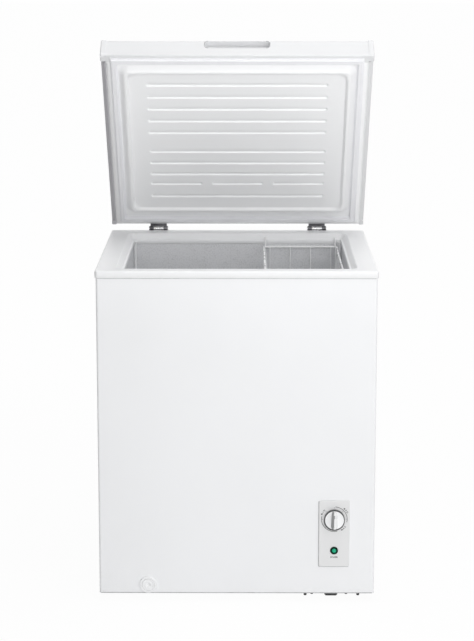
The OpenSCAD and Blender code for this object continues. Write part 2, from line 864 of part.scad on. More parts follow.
module liquid_pipe() {
    color("peru") tube_run([
        [condenser_x, liquid_y, pipe_end_z], [condenser_x, liquid_y, pipe_end_z - 16],
        [drier_x, liquid_y, pipe_end_z - 16], [drier_x, drier_y, drier_top]
    ], condenser_r, 7);
}

module filter_drier() {
    color("peru") translate([drier_x, drier_y, drier_top - drier_len]) rotate_extrude() polygon([
        [0, 0], [3, 0], [3, 8], [drier_r, 18], [drier_r, drier_len - 18],
        [3, drier_len - 8], [3, drier_len], [0, drier_len]
    ]);
}

module capillary_tube() {
    color("peru") tube_run([
        [drier_x, drier_y, drier_top - drier_len], [drier_x, drier_y, capillary_low],
        [capillary_x, drier_y, capillary_low],
        [capillary_x, evaporator_rear, capillary_low], [capillary_x, evaporator_rear, evaporator_top],
        [evaporator_gap[0], evaporator_rear, evaporator_top]
    ], capillary_r, 8);
}

// ---------- Rear cover ----------

gland_x = machine_mid + cover_w / 2 - 24;
gland_z = cover_low + 26;

module at_cover_corners() {
    for (sx = LEFT_RIGHT, sz = LEFT_RIGHT)
        translate([machine_mid + sx * (cover_w / 2 - 5), half_d + cover_t,
            cover_low + cover_h / 2 + sz * (cover_h / 2 - 5)]) rotate([-90, 0, 0]) children();
}

module rear_cover() {
    rows = 8;
    pitch = 19;
    color("dimgray") difference() {
        union() {
            translate([machine_mid, half_d + cover_t, cover_low + cover_h / 2]) rotate([90, 0, 0])
                rounded_plate(cover_w, cover_h, cover_t, 5);
            // hood over each louvre
            for (row = [0 : rows - 1])
                translate([machine_mid - 60, half_d + cover_t, cover_low + 62 + row * pitch])
                    rotate([90, 0, 90]) linear_extrude(120) polygon([[0, 2], [5, -5], [5, -7], [0, -1]]);
        }
        for (row = [0 : rows - 1])
            translate([machine_mid, half_d - 1, cover_low + 57 + row * pitch]) rotate([-90, 0, 0])
                slot(116, 7, cover_t + 1);
        translate([gland_x, half_d - 1, gland_z]) rotate([-90, 0, 0])
            cylinder(r = gland_r, h = cover_t + 2);
        at_cover_corners() translate([0, 0, -cover_t - 1]) cylinder(r = screw_r, h = cover_t + 2);
    }
}

module rear_cover_screws() {
    color("silver") at_cover_corners() screw(screw_head_r, screw_head_h, screw_r, cover_screw_l);
}

module cord_gland() {
    color("black") translate([gland_x, half_d, gland_z]) rotate([-90, 0, 0]) rotate_extrude()
        polygon([
            [3.6, -4], [gland_r + 2, -4], [gland_r + 2, 0], [gland_r, 0], [gland_r, cover_t],
            [gland_r + 3, cover_t], [gland_r + 1, cover_t + 5], [3.6, cover_t + 5]
        ]);
}

// ---------- Controls ----------

module control_panel() {
    color("gainsboro") difference() {
        translate([panel_x, -half_d, panel_low + panel_h / 2]) rotate([90, 0, 0])
            rolled_slab(panel_w, panel_h, panel_t, 4, 1.2);
        translate([panel_x, -half_d + 1, knob_z]) rotate([90, 0, 0])
            cylinder(r = neck_r, h = panel_t + 2);
        translate([panel_x, -half_d + 1, lamp_z]) rotate([90, 0, 0])
            cylinder(r = bezel_r - 2, h = panel_t + 2);
    }
}

// Open box behind the panel
module control_box() {
    color("white") difference() {
        translate([panel_x, box_d - half_d, panel_low + panel_h / 2]) rotate([90, 0, 0])
            rounded_plate(box_w, box_h, box_d, 4);
        translate([panel_x, box_d - half_d - box_t, panel_low + panel_h / 2]) rotate([90, 0, 0])
            rounded_plate(box_w - 2 * box_t, box_h - 2 * box_t, box_d, 3);
    }
}

module thermostat_body() {
    size = [42, 26, 34];
    color("tan") difference() {
        union() {
            translate([panel_x - size.x / 2, box_d - half_d - box_t - size.y, knob_z - size.z / 2])
                cube(size);
            translate([panel_x, box_d - half_d - box_t - size.y, knob_z]) rotate([90, 0, 0])
                cylinder(r = neck_r, h = box_d - box_t - size.y + panel_t);
        }
        translate([panel_x, box_d - half_d - box_t - 12, knob_z]) rotate([90, 0, 0])
            cylinder(r = shaft_r + shaft_play, h = box_d + 10);
    }
}

module thermostat_shaft() {
    depth = box_d - box_t - 14;
    color("silver") translate([panel_x, depth - half_d, knob_z]) rotate([90, 0, 0])
        cylinder(r = shaft_r, h = depth + panel_t + knob_gap + 8);
}

// Dial with a grip ridge that is narrow at its pointing end
module thermostat_knob() {
    skirt_h = knob_h * 0.4;
    ridge_front = knob_h;
    color("white") translate([panel_x, panel_front - knob_gap, knob_z]) rotate([90, 0, 0])
        difference() {
            union() {
                rotate_extrude() {
                    square([knob_r - 2, skirt_h]);
                    square([knob_r, skirt_h - 2]);
                    translate([knob_r - 2, skirt_h - 2]) intersection() {
                        circle(r = 2);
                        square(2);
                    }
                }
                intersection() {
                    linear_extrude(ridge_front) polygon([
                        [-3, knob_r], [3, knob_r], [7.5, -knob_r], [-7.5, -knob_r]
                    ]);
                    rotate_extrude() polygon([
                        [0, 0], [knob_r - 1, 0], [knob_r - 1, skirt_h], [knob_r - 4, ridge_front],
                        [0, ridge_front]
                    ]);
                }
            }
            translate([0, 0, -1]) cylinder(r = shaft_r, h = 9);
        }
}

module lamp_bezel() {
    color("darkgreen") translate([panel_x, panel_front, lamp_z]) rotate([90, 0, 0]) rotate_extrude()
        polygon([
            [lens_r, -panel_t - 8], [bezel_r - 2, -panel_t - 8], [bezel_r - 2, 0], [bezel_r, 0],
            [bezel_r, 1], [bezel_r - 1.5, 2.5], [lens_r, 2.5]
        ]);
}

module lamp_lens() {
    dome = 3;
    sphere_r = (lens_r * lens_r + dome * dome) / (2 * dome);
    color("limegreen") translate([panel_x, panel_front, lamp_z]) rotate([90, 0, 0]) {
        translate([0, 0, -panel_t - 6]) cylinder(r = lens_r, h = panel_t + 7);
        intersection() {
            translate([0, 0, 1 + dome - sphere_r]) sphere(r = sphere_r);
            translate([0, 0, 1]) cylinder(r = lens_r, h = dome);
        }
    }
}

// ---------- Drain ----------

// Places a shape along the drain's axis with +Z towards the front
module at_drain() {
    translate([drain_x, -half_d, drain_z]) rotate([90, 0, 0]) children();
}

module drain_housing() {
    color("white") at_drain() rotate_extrude() difference() {
        union() {
            translate([0, -drain_cup_d]) square([drain_pipe_r + 3, drain_cup_d]);
            translate([0, -drain_neck_d]) square([drain_neck_r, drain_neck_d]);
            square([drain_flange_r - 2, 4]);
            square([drain_flange_r, 2]);
            translate([drain_flange_r - 2, 2]) intersection() {
                circle(r = 2);
                square(2);
            }
        }
        translate([0, -drain_cup_d + 3]) square([drain_pipe_r - 1, drain_cup_d + 10]);
        translate([0, 4 - dial_t]) square([drain_dial_r + drain_play, 20]);
        translate([0, -drain_cup_d - 1]) square([drain_bore_r, 6]);
    }
}

module drain_pipe() {
    low = drain_z;
    color("white") difference() {
        union() {
            translate([drain_x, drain_hole_y, low]) cylinder(r = drain_pipe_r, h = floor_z - liner_t - low);
            translate([drain_x, drain_hole_y, low]) sphere(r = drain_pipe_r);
            translate([drain_x, drain_hole_y, low]) rotate([90, 0, 0])
                cylinder(r = drain_pipe_r, h = drain_hole_y + half_d - drain_cup_d);
        }
        translate([drain_x, drain_hole_y, low]) cylinder(r = drain_bore_r, h = 100);
        translate([drain_x, drain_hole_y, low]) rotate([90, 0, 0])
            cylinder(r = drain_bore_r, h = drain_hole_y + half_d);
        translate([drain_x, drain_hole_y, low]) sphere(r = drain_bore_r);
    }
}

// Sleeve that pulls out of the housing to make a spout
module drain_sleeve() {
    outer = drain_pipe_r - 1 - drain_play;
    color("white") at_drain() difference() {
        translate([0, 0, 4 - dial_t - sleeve_len]) cylinder(r = outer, h = sleeve_len);
        translate([0, 0, 2 - dial_t - sleeve_len]) cylinder(r = outer - 2, h = sleeve_len);
        // outlet window in the sleeve's underside
        translate([-4, -outer - 1, -16]) cube([8, 6, 10]);
    }
}

module drain_dial() {
    color("white") at_drain() translate([0, 0, 4 - dial_t + drain_play]) difference() {
        rotate_extrude() {
            square([drain_dial_r - 1, dial_t + dial_face - drain_play]);
            square([drain_dial_r, dial_t + dial_face - drain_play - 1]);
        }
        translate([0, 0, dial_t + 6]) sphere(r = 7.5);
    }
}

module drain_plug() {
    shank = drain_bore_r - drain_play;
    color("gray") translate([drain_x, drain_hole_y, floor_z]) {
        translate([0, 0, -22]) cylinder(r = shank, h = 22 + drain_play);
        translate([0, 0, drain_play]) cylinder(r1 = plug_head_r, r2 = plug_head_r - 1.5, h = plug_head_h);
        translate([0, 0, drain_play]) cylinder(r = 4, h = plug_head_h + 7);
        translate([0, 0, plug_head_h + 10]) sphere(r = 6);
    }
}

// ---------- Feet ----------

module foot(x, y, top) {
    color("black") translate([x, y, 0]) {
        translate([0, 0, 3]) rounded_plate(foot_w, foot_d, top - 3, 4);
        flared_block(foot_w - 4, foot_d - 4, 3, 3, 2);
    }
}

module front_left_foot() foot(-half_w + left_foot_inset, -half_d + left_foot_inset, base_z);
module rear_left_foot() foot(-half_w + left_foot_inset, half_d - left_foot_inset, base_z);
module front_right_foot() foot(machine_mid - 5, -half_d + foot_inset + foot_d / 2, foot_h);
module rear_right_foot() foot(machine_mid - 5, half_d - foot_inset - foot_d / 2, foot_h);

// ---------- Hinges ----------

// Outline of a cheek: x is Y on the cabinet, y is the height
module cheek_outline() {
    polygon([
        [half_d, channel_z], [pin_y + cheek_r, channel_z + 12], [pin_y + cheek_r, pin_z],
        [frame_rear, pin_z], [frame_rear, seam_z], [half_d, seam_z]
    ]);
    translate([pin_y, pin_z]) circle(r = cheek_r);
}

module hinge_channel(side) {
    color("dimgray") translate([side * hinge_x, 0, 0]) difference() {
        union() {
            for (cheek = LEFT_RIGHT)
                translate([cheek * (hinge_w / 2 - hinge_t / 2) - hinge_t / 2, 0, 0])
                    rotate([90, 0, 90]) linear_extrude(hinge_t) cheek_outline();
            // rear web
            translate([-hinge_w / 2, pin_y + cheek_r - hinge_t, channel_z + 12])
                cube([hinge_w, hinge_t, seam_z - channel_z - 24]);
            // ears on the rear panel
            for (ear = LEFT_RIGHT)
                translate([ear * (hinge_w + ear_w) / 2 - ear_w / 2, half_d, channel_z])
                    cube([ear_w, hinge_t, hinge_drop]);
        }
        translate([-hinge_w, pin_y, pin_z]) rotate([0, 90, 0]) cylinder(r = pin_r, h = 2 * hinge_w);
    }
}

module hinge_pin(side) {
    head = 1.5;
    color("silver") translate([side * hinge_x - hinge_w / 2 - head, pin_y, pin_z]) rotate([0, 90, 0]) {
        cylinder(r = pin_r, h = hinge_w + 2 * head);
        cylinder(r = pin_r + 2, h = head);
        translate([0, 0, hinge_w + head]) cylinder(r = pin_r + 2, h = head);
    }
}

// Leaf that turns with the lid: a knuckle, an arm and a plate on the lid's rear side
module hinge_leaf(side) {
    // the arm's corners inside the knuckle
    near = knuckle_r * 0.54;
    far = knuckle_r * 0.72;
    color("dimgray") opened() translate([side * hinge_x - leaf_w / 2, 0, 0]) difference() {
        union() {
            translate([0, pin_y, pin_z]) rotate([0, 90, 0]) cylinder(r = knuckle_r, h = leaf_w);
            rotate([90, 0, 90]) linear_extrude(leaf_w) polygon([
                [lid_rear, lid_z + 1], [lid_rear, lid_z + leaf_rise],
                [lid_rear + hinge_t, lid_z + leaf_rise], [lid_rear + hinge_t, pin_z + 16],
                [pin_y + far, pin_z + near], [pin_y - near, pin_z - far]
            ]);
        }
        translate([-1, pin_y, pin_z]) rotate([0, 90, 0])
            cylinder(r = pin_r + pin_play, h = leaf_w + 2);
    }
}

module channel_screws() {
    color("silver") for (side = LEFT_RIGHT, ear = LEFT_RIGHT, z = [channel_z + 18, seam_z - 18])
        translate([side * hinge_x + ear * (hinge_w + ear_w) / 2, half_d + hinge_t, z])
            rotate([-90, 0, 0]) cylinder(r1 = screw_head_r, r2 = screw_head_r * 0.7, h = screw_head_h);
}

module leaf_screws() {
    color("silver") opened() for (side = LEFT_RIGHT, sx = LEFT_RIGHT, rise = [28, 38])
        translate([side * hinge_x + sx * leaf_w / 3, lid_rear + hinge_t, lid_z + rise])
            rotate([-90, 0, 0]) cylinder(r1 = 3.2, r2 = 2.2, h = 2);
}

// ---------- Lid ----------

module lid_outer_shell() {
    inside = lid_t - lid_shell_t;
    color("white") in_lid() difference() {
        translate([0, -lid_d / 2, 0]) rolled_slab(lid_w, lid_d, lid_t, lid_corner, lid_edge);
        translate([0, -lid_d / 2, -1]) rolled_slab(lid_w - 2 * lid_shell_t, lid_d - 2 * lid_shell_t,
            inside + 1, lid_corner - lid_shell_t, lid_edge - lid_shell_t);
        // the handle strip closes the front
        translate([-lid_w, strip_y - lid_d, -1]) cube([2 * lid_w, lid_d, lid_t + 2]);
        // the trims sit under the side walls
        for (side = LEFT_RIGHT)
            translate([side * (lid_w / 2 - trim_w / 2) - trim_w / 2 - 1, -2 * lid_d, -1])
                cube([trim_w + 2, 4 * lid_d, trim_h + 1]);
    }
}

module lid_foam() {
    inside = lid_t - lid_shell_t;
    color("khaki") in_lid() difference() {
        union() {
            translate([0, -lid_d / 2, flange_t]) rolled_slab(lid_w - 2 * lid_shell_t,
                lid_d - 2 * lid_shell_t, inside - flange_t, lid_corner - lid_shell_t,
                lid_edge - lid_shell_t);
            translate([0, plug_y, panel_z + panel_skin])
                rounded_plate(pocket_w, pocket_d, flange_t + 1 - panel_z - panel_skin, panel_corner);
        }
        translate([-lid_w, strip_y - lid_d, -1]) cube([2 * lid_w, lid_d, lid_t + 2]);
        for (side = LEFT_RIGHT)
            translate([side * (lid_w / 2 - trim_w / 2) - trim_w / 2 - 1, -2 * lid_d, -1])
                cube([trim_w + 2, 4 * lid_d, trim_h + 1]);
    }
}

// Pressed groove with sloping sides and round ends
module groove(length) {
    top = groove_w / 2 - groove_slope;
    bottom = groove_w / 2;
    reach = length / 2 - bottom;
    translate([-reach, 0, 0]) rotate([90, 0, 90]) linear_extrude(2 * reach) polygon([
        [-bottom, 0], [bottom, 0], [top, groove_depth], [-top, groove_depth]
    ]);
    for (side = LEFT_RIGHT) translate([side * reach, 0, 0])
        cylinder(r1 = bottom, r2 = top, h = groove_depth);
}

// Rows of grooves over the panel; the second from the rear is broken into three
module panel_grooves() {
    full = pocket_w - 2 * groove_margin;
    part_gap = 18;
    part = (full - 2 * part_gap) / 3;
    rows_front = 5;
    rows_rear = 5;
    first = plug_y - pocket_d / 2 + pocket_slope + 33.5;
    last = plug_y + pocket_d / 2 - pocket_slope - 40;
    broken_shift = 5;
    for (i = [0 : rows_front - 1]) translate([0, first + i * groove_pitch, panel_z]) groove(full);
    for (i = [0 : rows_rear - 1]) translate([0, last - i * groove_pitch, panel_z]) {
        if (i == 1) {
            for (step = [-1, 0, 1])
                translate([step * (part + part_gap), -broken_shift, 0]) groove(part);
        } else groove(full);
    }
}

module lid_inner_liner() {
    flange_d = lid_d - handle_d - lid_shell_t;
    color("whitesmoke") in_lid() difference() {
        union() {
            translate([-trim_x, strip_y, 0]) cube([2 * trim_x, flange_d, flange_t]);
            translate([0, plug_y, -plug_drop])
                flared_block(crown_w, crown_d, plug_drop, crown_corner, plug_flare);
        }
        translate([0, plug_y, -plug_drop]) mirror([0, 0, 1]) translate([0, 0, -panel_recess])
            flared_block(pocket_w - 2 * pocket_slope, pocket_d - 2 * pocket_slope, panel_recess + TINY,
                panel_corner, pocket_slope);
        translate([0, plug_y, panel_z + panel_skin])
            rounded_plate(pocket_w, pocket_d, plug_drop + flange_t, panel_corner);
        panel_grooves();
    }
}

// Layer of the seal round the lid, drawn in from both edges of its foot
module seal_layer(inset, high, low) {
    corner = 4;
    translate([0, gasket_y, low]) difference() {
        rounded_plate(gasket_ring_w + gasket_w - 2 * inset, gasket_ring_d + gasket_w - 2 * inset,
            high - low, corner);
        translate([0, 0, -1]) rounded_plate(gasket_ring_w - gasket_w + 2 * inset,
            gasket_ring_d - gasket_w + 2 * inset, high - low + 2, corner);
    }
}

// Magnetic seal: foot, bellows neck and magnet pocket
module lid_gasket() {
    foot_h = 2.5;
    neck_h = 1.5;
    color("lightgray") in_lid() {
        seal_layer(0, 0, -foot_h);
        seal_layer(4, -foot_h, -foot_h - neck_h);
        seal_layer(2, -foot_h - neck_h, -gasket_h);
    }
}

// Strip along the lid's front with the grip recess in its face
module lid_handle() {
    length = lid_w + 2 * end_cap_proud - 2 * end_cap_w;
    grip_z = lid_t - grip_lip - grip_h / 2;
    top_r = 7;
    low_r = 3;
    color("white") in_lid() difference() {
        translate([-length / 2, 0, 0]) rotate([90, 0, 90]) linear_extrude(length) {
            translate([-lid_d + top_r, 0]) square([handle_d - top_r, lid_t]);
            translate([-lid_d, low_r]) square([top_r, lid_t - low_r - top_r]);
            translate([-lid_d + low_r, 0]) square([top_r, lid_t - top_r]);
            translate([-lid_d + low_r, low_r]) circle(r = low_r);
            translate([-lid_d + top_r, lid_t - top_r]) circle(r = top_r);
        }
        translate([0, grip_depth - lid_d, grip_z]) rotate([90, 0, 0])
            rounded_plate(grip_w, grip_h, grip_depth + 1, 9);
    }
}

module end_cap(side) {
    cap_h = lid_t + end_cap_proud;
    cap_d = handle_d + end_cap_proud;
    color("whitesmoke") in_lid()
        translate([side * (lid_w / 2 + end_cap_proud - end_cap_w), strip_y - cap_d / 2, cap_h / 2])
            rotate([0, side * 90, 0]) rolled_slab(cap_h, cap_d, end_cap_w, 6, 3);
}

module lid_trim(side) {
    run = lid_d - handle_d;
    foot_run = 12;
    foot_out = 2.5;
    color("whitesmoke") in_lid() {
        rotate([90, 0, 0]) linear_extrude(run) polygon([
            [side * trim_x, 0], [side * (trim_x + 2.5), 0], [side * lid_w / 2, trim_h - 2],
            [side * lid_w / 2, trim_h], [side * trim_x, trim_h]
        ]);
        translate([side * (trim_x + trim_w / 2), foot_out - foot_run / 2, 0])
            rounded_plate(trim_w, foot_run, trim_h, 3);
    }
}

// ---------- Basket ----------

// Wire bent down one wall, across the bottom and up the other wall
function hoop(inset, low, half, across) = [
    for (p = [[-half + inset, rim_z], [-half + inset, low], [half - inset, low], [half - inset, rim_z]])
        across ? [p[0], 0, p[1]] : [0, p[0], p[1]]
];

module basket() {
    inset = rim_wire + grid_wire - weld_sink;
    low = rim_z - basket_h + rim_wire + grid_wire;
    slim = rim_wire * 0.2; // the middle hoop is thinner than the rim
    columns = floor((basket_w - 2 * basket_corner - 10) / grid_pitch);
    rows = floor((basket_d - 2 * basket_corner - 10) / grid_pitch);
    color("white") translate([basket_x, open_y, 0]) {
        // rim and middle hoop
        translate([0, 0, rim_z]) run_round(basket_w, basket_d, basket_corner)
            translate([basket_corner, 0]) circle(r = rim_wire);
        translate([0, 0, rim_z - basket_h / 2])
            run_round(basket_w - 2 * slim, basket_d - 2 * slim, basket_corner)
                translate([basket_corner, 0]) circle(r = rim_wire - slim);
        for (i = [0 : columns]) translate([(i - columns / 2) * grid_pitch, 0, 0])
            tube_run(hoop(inset, low, basket_d / 2, false), grid_wire, 6);
        for (i = [0 : rows]) translate([0, (i - rows / 2) * grid_pitch + 7, 0])
            tube_run(hoop(inset, low + 2 * grid_wire - weld_sink, basket_w / 2, true), grid_wire, 6);
        // hooks that ride on the frame's ledge
        for (sx = LEFT_RIGHT, sy = LEFT_RIGHT)
            translate([sx * (basket_w / 2 - basket_corner), sy * basket_d / 2, 0]) tube_run([
                [0, 0, rim_z], [0, 0, hook_z], [0, sy * hook_reach, hook_z]
            ], rim_wire * 0.9, 4);
    }
}

// How far the part reaches with the lid as drawn: the knob in front, the lid's rear edge behind
front_reach = knob_gap + knob_h - panel_front;
lid_reach = pin_y + (lid_rear - lid_edge - pin_y) * cos(lid_open)
    + (lid_z + lid_t - lid_edge - pin_z) * sin(lid_open) + lid_edge;
rear_reach = max(lid_reach, pin_y + cheek_r);

// The origin is on the floor, in the middle of the box round the part
translate([0, -round((rear_reach - front_reach) / 2), 0]) {
    outer_wrapper();
    rear_panel();
    bottom_panel();
    top_frame();
    inner_liner();
    liner_floor();
    foam_insulation();
    evaporator_coil();
    condenser_coil();
    compressor();
    compressor_grommets();
    compressor_bolts();
    compressor_tray();
    tray_screws();
    terminal_cover();
    discharge_pipe();
    suction_pipe();
    liquid_pipe();
    filter_drier();
    capillary_tube();
    rear_cover();
    rear_cover_screws();
    cord_gland();
    control_panel();
    control_box();
    thermostat_body();
    thermostat_shaft();
    thermostat_knob();
    lamp_bezel();
    lamp_lens();
    drain_housing();
    drain_pipe();
    drain_sleeve();
    drain_dial();
    drain_plug();
    front_left_foot();
    rear_left_foot();
    front_right_foot();
    rear_right_foot();
    hinge_channel(-1);  // left_hinge_channel
    hinge_channel(1);  // right_hinge_channel
    hinge_pin(-1);  // left_hinge_pin
    hinge_pin(1);  // right_hinge_pin
    hinge_leaf(-1);  // left_hinge_leaf
    hinge_leaf(1);  // right_hinge_leaf
    channel_screws();
    leaf_screws();
    lid_outer_shell();
    lid_foam();
    lid_inner_liner();
    lid_gasket();
    lid_handle();
    end_cap(-1);  // left_end_cap
    end_cap(1);  // right_end_cap
    lid_trim(-1);  // left_lid_trim
    lid_trim(1);  // right_lid_trim
    basket();
}
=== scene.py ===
"""Looks of a chest freezer with its lid open: finishes, trim and marks round the CAD frame."""
import json
import math
from collections import Counter

import bmesh
import bpy
from mathutils import Matrix, Vector


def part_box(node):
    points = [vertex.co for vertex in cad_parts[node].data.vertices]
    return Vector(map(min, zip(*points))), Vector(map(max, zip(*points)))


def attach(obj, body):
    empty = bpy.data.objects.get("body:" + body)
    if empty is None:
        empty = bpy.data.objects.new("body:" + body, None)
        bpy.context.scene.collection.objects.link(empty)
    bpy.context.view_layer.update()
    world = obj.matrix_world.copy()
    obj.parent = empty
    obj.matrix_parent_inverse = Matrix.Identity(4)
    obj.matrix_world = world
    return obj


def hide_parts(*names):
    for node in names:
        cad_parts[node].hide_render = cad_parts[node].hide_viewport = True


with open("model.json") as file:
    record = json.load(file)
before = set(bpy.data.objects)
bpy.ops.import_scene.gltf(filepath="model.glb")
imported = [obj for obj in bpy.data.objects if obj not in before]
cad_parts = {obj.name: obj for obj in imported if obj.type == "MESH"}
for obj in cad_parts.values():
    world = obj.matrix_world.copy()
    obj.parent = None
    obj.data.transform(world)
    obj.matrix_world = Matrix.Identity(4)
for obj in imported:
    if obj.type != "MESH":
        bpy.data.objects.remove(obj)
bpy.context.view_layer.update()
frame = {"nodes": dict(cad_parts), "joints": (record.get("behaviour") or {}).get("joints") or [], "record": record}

MM = 0.001
# how far the top frame's skirt hangs over the outer wrapper
FRAME_SKIRT = 11 * MM
# outer corner radius of the outer wrapper
CABINET_CORNER = 6 * MM
# thickness of printed marks and letters
PRINT_T = 0.2 * MM
# steps in each quarter of a rounded corner
CORNER_STEPS = 6
NODES = frame["nodes"]
JOINTS = {joint["name"]: joint for joint in frame["joints"]}
LID_HINGE = Vector(JOINTS["lid_hinge"]["pos_m"])
LID_OPEN = math.radians(-JOINTS["lid_hinge"]["range_deg"][0])


# ---------- Camera ----------

def add_camera():
    """Level-sided product view from a little right of the middle, above the rim."""
    data = bpy.data.cameras.new("camera")
    # lens, shift, place and turn are fitted to the photograph's view
    data.lens = 99.2
    data.sensor_width = 36
    data.shift_y = -0.156
    data.clip_end = 100
    camera = bpy.data.objects.new("camera", data)
    right, ahead, above = 0.0174, 3.8234, 1.5245
    tilt_down, turn_left = 9.594, 0.25
    camera.location = (right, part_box("outer_wrapper")[0].y - ahead, above)
    camera.rotation_euler = (math.radians(90 - tilt_down), 0, math.radians(turn_left))
    bpy.context.scene.collection.objects.link(camera)
    bpy.context.scene.camera = camera


add_camera()


# ---------- Materials ----------

class Finish:
    """A node material by position: a colour with soft patches, a rough grain and a bump."""

    def __init__(self, name, color, roughness, metallic=0.0):
        self.material = bpy.data.materials.new(name)
        self.material.use_nodes = True
        self.tree = self.material.node_tree
        self.shader = self.tree.nodes["Principled BSDF"]
        self.color = color
        self.set("Base Color", (*color, 1))
        self.set("Roughness", roughness)
        self.set("Metallic", metallic)
        self.place = self.node("ShaderNodeTexCoord").outputs["Object"]

    def set(self, socket, value):
        self.shader.inputs[socket].default_value = value
        return self

    def node(self, kind, **values):
        made = self.tree.nodes.new(kind)
        for key, value in values.items():
            setattr(made, key, value)
        return made

    def link(self, output, target):
        self.tree.links.new(output, target)

    def stretched(self, stretch):
        """The place with its axes scaled, for grain that runs one way."""
        if stretch == (1, 1, 1):
            return self.place
        mapping = self.node("ShaderNodeMapping")
        mapping.inputs["Scale"].default_value = stretch
        self.link(self.place, mapping.inputs["Vector"])
        return mapping.outputs["Vector"]

    def noise(self, size, detail=3, stretch=(1, 1, 1)):
        """Noise whose blobs are about size metres across."""
        made = self.node("ShaderNodeTexNoise")
        made.inputs["Scale"].default_value = 1 / size
        made.inputs["Detail"].default_value = detail
        self.link(self.stretched(stretch), made.inputs["Vector"])
        return made.outputs["Fac"]

    def cells(self, size, smooth):
        """Rounded cells about size metres across."""
        made = self.node("ShaderNodeTexVoronoi", feature="SMOOTH_F1")
        made.inputs["Scale"].default_value = 1 / size
        made.inputs["Smoothness"].default_value = smooth
        self.link(self.place, made.inputs["Vector"])
        return made.outputs["Distance"]

    def ramp(self, value, low, high, start=0.35, end=0.65):
        """Turns a 0-1 value into low below start and high above end."""
        made = self.node("ShaderNodeMapRange")
        made.inputs["From Min"].default_value = start
        made.inputs["From Max"].default_value = end
        made.inputs["To Min"].default_value = low
        made.inputs["To Max"].default_value = high
        self.link(value, made.inputs["Value"])
        return made.outputs["Result"]

    def mottle(self, other, value, start=0.35, end=0.65):
        """Blends the base colour so far towards another where the value is high."""
        mix = self.node("ShaderNodeMix", data_type="RGBA")
        base = self.shader.inputs["Base Color"]
        if base.is_linked:
            self.link(base.links[0].from_socket, mix.inputs["A"])
        else:
            mix.inputs["A"].default_value = base.default_value
        mix.inputs["B"].default_value = (*other, 1)
        self.link(self.ramp(value, 0, 1, start, end), mix.inputs["Factor"])
        self.link(mix.outputs["Result"], base)
        return self

    def rough(self, low, high, value):
        self.link(self.ramp(value, low, high), self.shader.inputs["Roughness"])
        return self

    def bump(self, value, height):
        """Adds relief: height is how far the value's whole range stands out, in metres."""
        made = self.node("ShaderNodeBump")
        made.inputs["Distance"].default_value = height
        made.inputs["Strength"].default_value = 1
        self.link(value, made.inputs["Height"])
        normal = self.shader.inputs["Normal"]
        if normal.is_linked:
            self.link(normal.links[0].from_socket, made.inputs["Normal"])
        self.link(made.outputs["Normal"], normal)
        return self


def shade(color, factor):
    return tuple(min(channel * factor, 1) for channel in color)


def moulding(name, color, roughness=0.4, grain=0.0012, relief=0.000004):
    """Injection moulding: spark-eroded grain and slow changes of gloss."""
    made = Finish(name, color, roughness)
    made.mottle(shade(color, 0.985), made.noise(0.12, 2), 0.2, 0.8)
    made.rough(roughness - 0.03, roughness + 0.04, made.noise(0.05, 2))
    return made.bump(made.noise(grain, 3), relief)


def drawn_metal(name, color, roughness, dull=0.75):
    """Metal with a fine drawn grain and dull handled patches."""
    made = Finish(name, color, roughness, 1.0)
    made.mottle(shade(color, dull), made.noise(0.02, 5))
    made.rough(roughness - 0.08, roughness + 0.18, made.noise(0.006, 6))
    return made.bump(made.noise(0.0012, 3), 0.00004)


def white_steel():
    """Sprayed powder coat: faint orange peel, cloudier gloss in broad patches."""
    color = (0.885, 0.892, 0.905)
    roughness = 0.34
    made = Finish("white_enamel", color, roughness)
    made.mottle(shade(color, 0.975), made.noise(0.35, 2))
    made.rough(roughness - 0.05, roughness + 0.07, made.noise(0.09, 4))
    made.bump(made.noise(0.0025, 2), 0.000012)
    return made.set("Coat Weight", 0.15).set("Coat Roughness", 0.2)


def grey_steel():
    """Galvanised sheet with a faint spangle."""
    made = Finish("galvanised", (0.62, 0.63, 0.64), 0.42, 0.85)
    spangle = made.cells(0.006, 0.05)
    made.mottle((0.57, 0.58, 0.595), spangle, 0.1, 0.8)
    made.rough(0.38, 0.5, spangle)
    return made.bump(made.noise(0.004, 4), 0.00005)


def white_plastic():
    return moulding("white_moulding", (0.9, 0.905, 0.914), 0.36)


def soft_white_plastic():
    """Vacuum-formed sheet, very finely pebbled."""
    return moulding("formed_sheet", (0.92, 0.925, 0.932), 0.36, 0.0014, 0.000006)


def embossed_aluminium():
    """Stucco-embossed sheet: rounded pebbles pressed into soft metal."""
    made = Finish("stucco_aluminium", (0.78, 0.785, 0.8), 0.5, 0.35)
    pebble = made.cells(0.0034, 0.7)
    made.mottle((0.66, 0.665, 0.68), pebble, 0.35, 0.85)
    made.mottle((0.8, 0.805, 0.82), made.noise(0.03, 3), 0.4, 0.9)
    made.rough(0.45, 0.55, made.noise(0.04, 3))
    return made.bump(pebble, 0.00015)


def foam():
    made = Finish("polyurethane_foam", (0.83, 0.72, 0.42), 0.9)
    cell = made.cells(0.0014, 0.3)
    made.mottle((0.66, 0.53, 0.26), made.noise(0.04, 6))
    made.mottle((0.9, 0.82, 0.58), cell, 0.5, 0.9)
    return made.bump(cell, 0.0006)


def bare_aluminium():
    return drawn_metal("drawn_aluminium", (0.74, 0.75, 0.76), 0.32)


def copper_pipe():
    """Copper tube with brown oxide clouds."""
    made = drawn_metal("copper", (0.82, 0.46, 0.3), 0.28)
    return made.mottle((0.4, 0.2, 0.13), made.noise(0.035, 6), 0.55, 0.8)


def black_enamel():
    made = Finish("black_enamel", (0.014, 0.014, 0.015), 0.35).set("Specular IOR Level", 0.3)
    made.mottle((0.028, 0.028, 0.029), made.noise(0.05, 5))
    made.rough(0.22, 0.45, made.noise(0.02, 4))
    return made.bump(made.noise(0.003, 2), 0.00012)


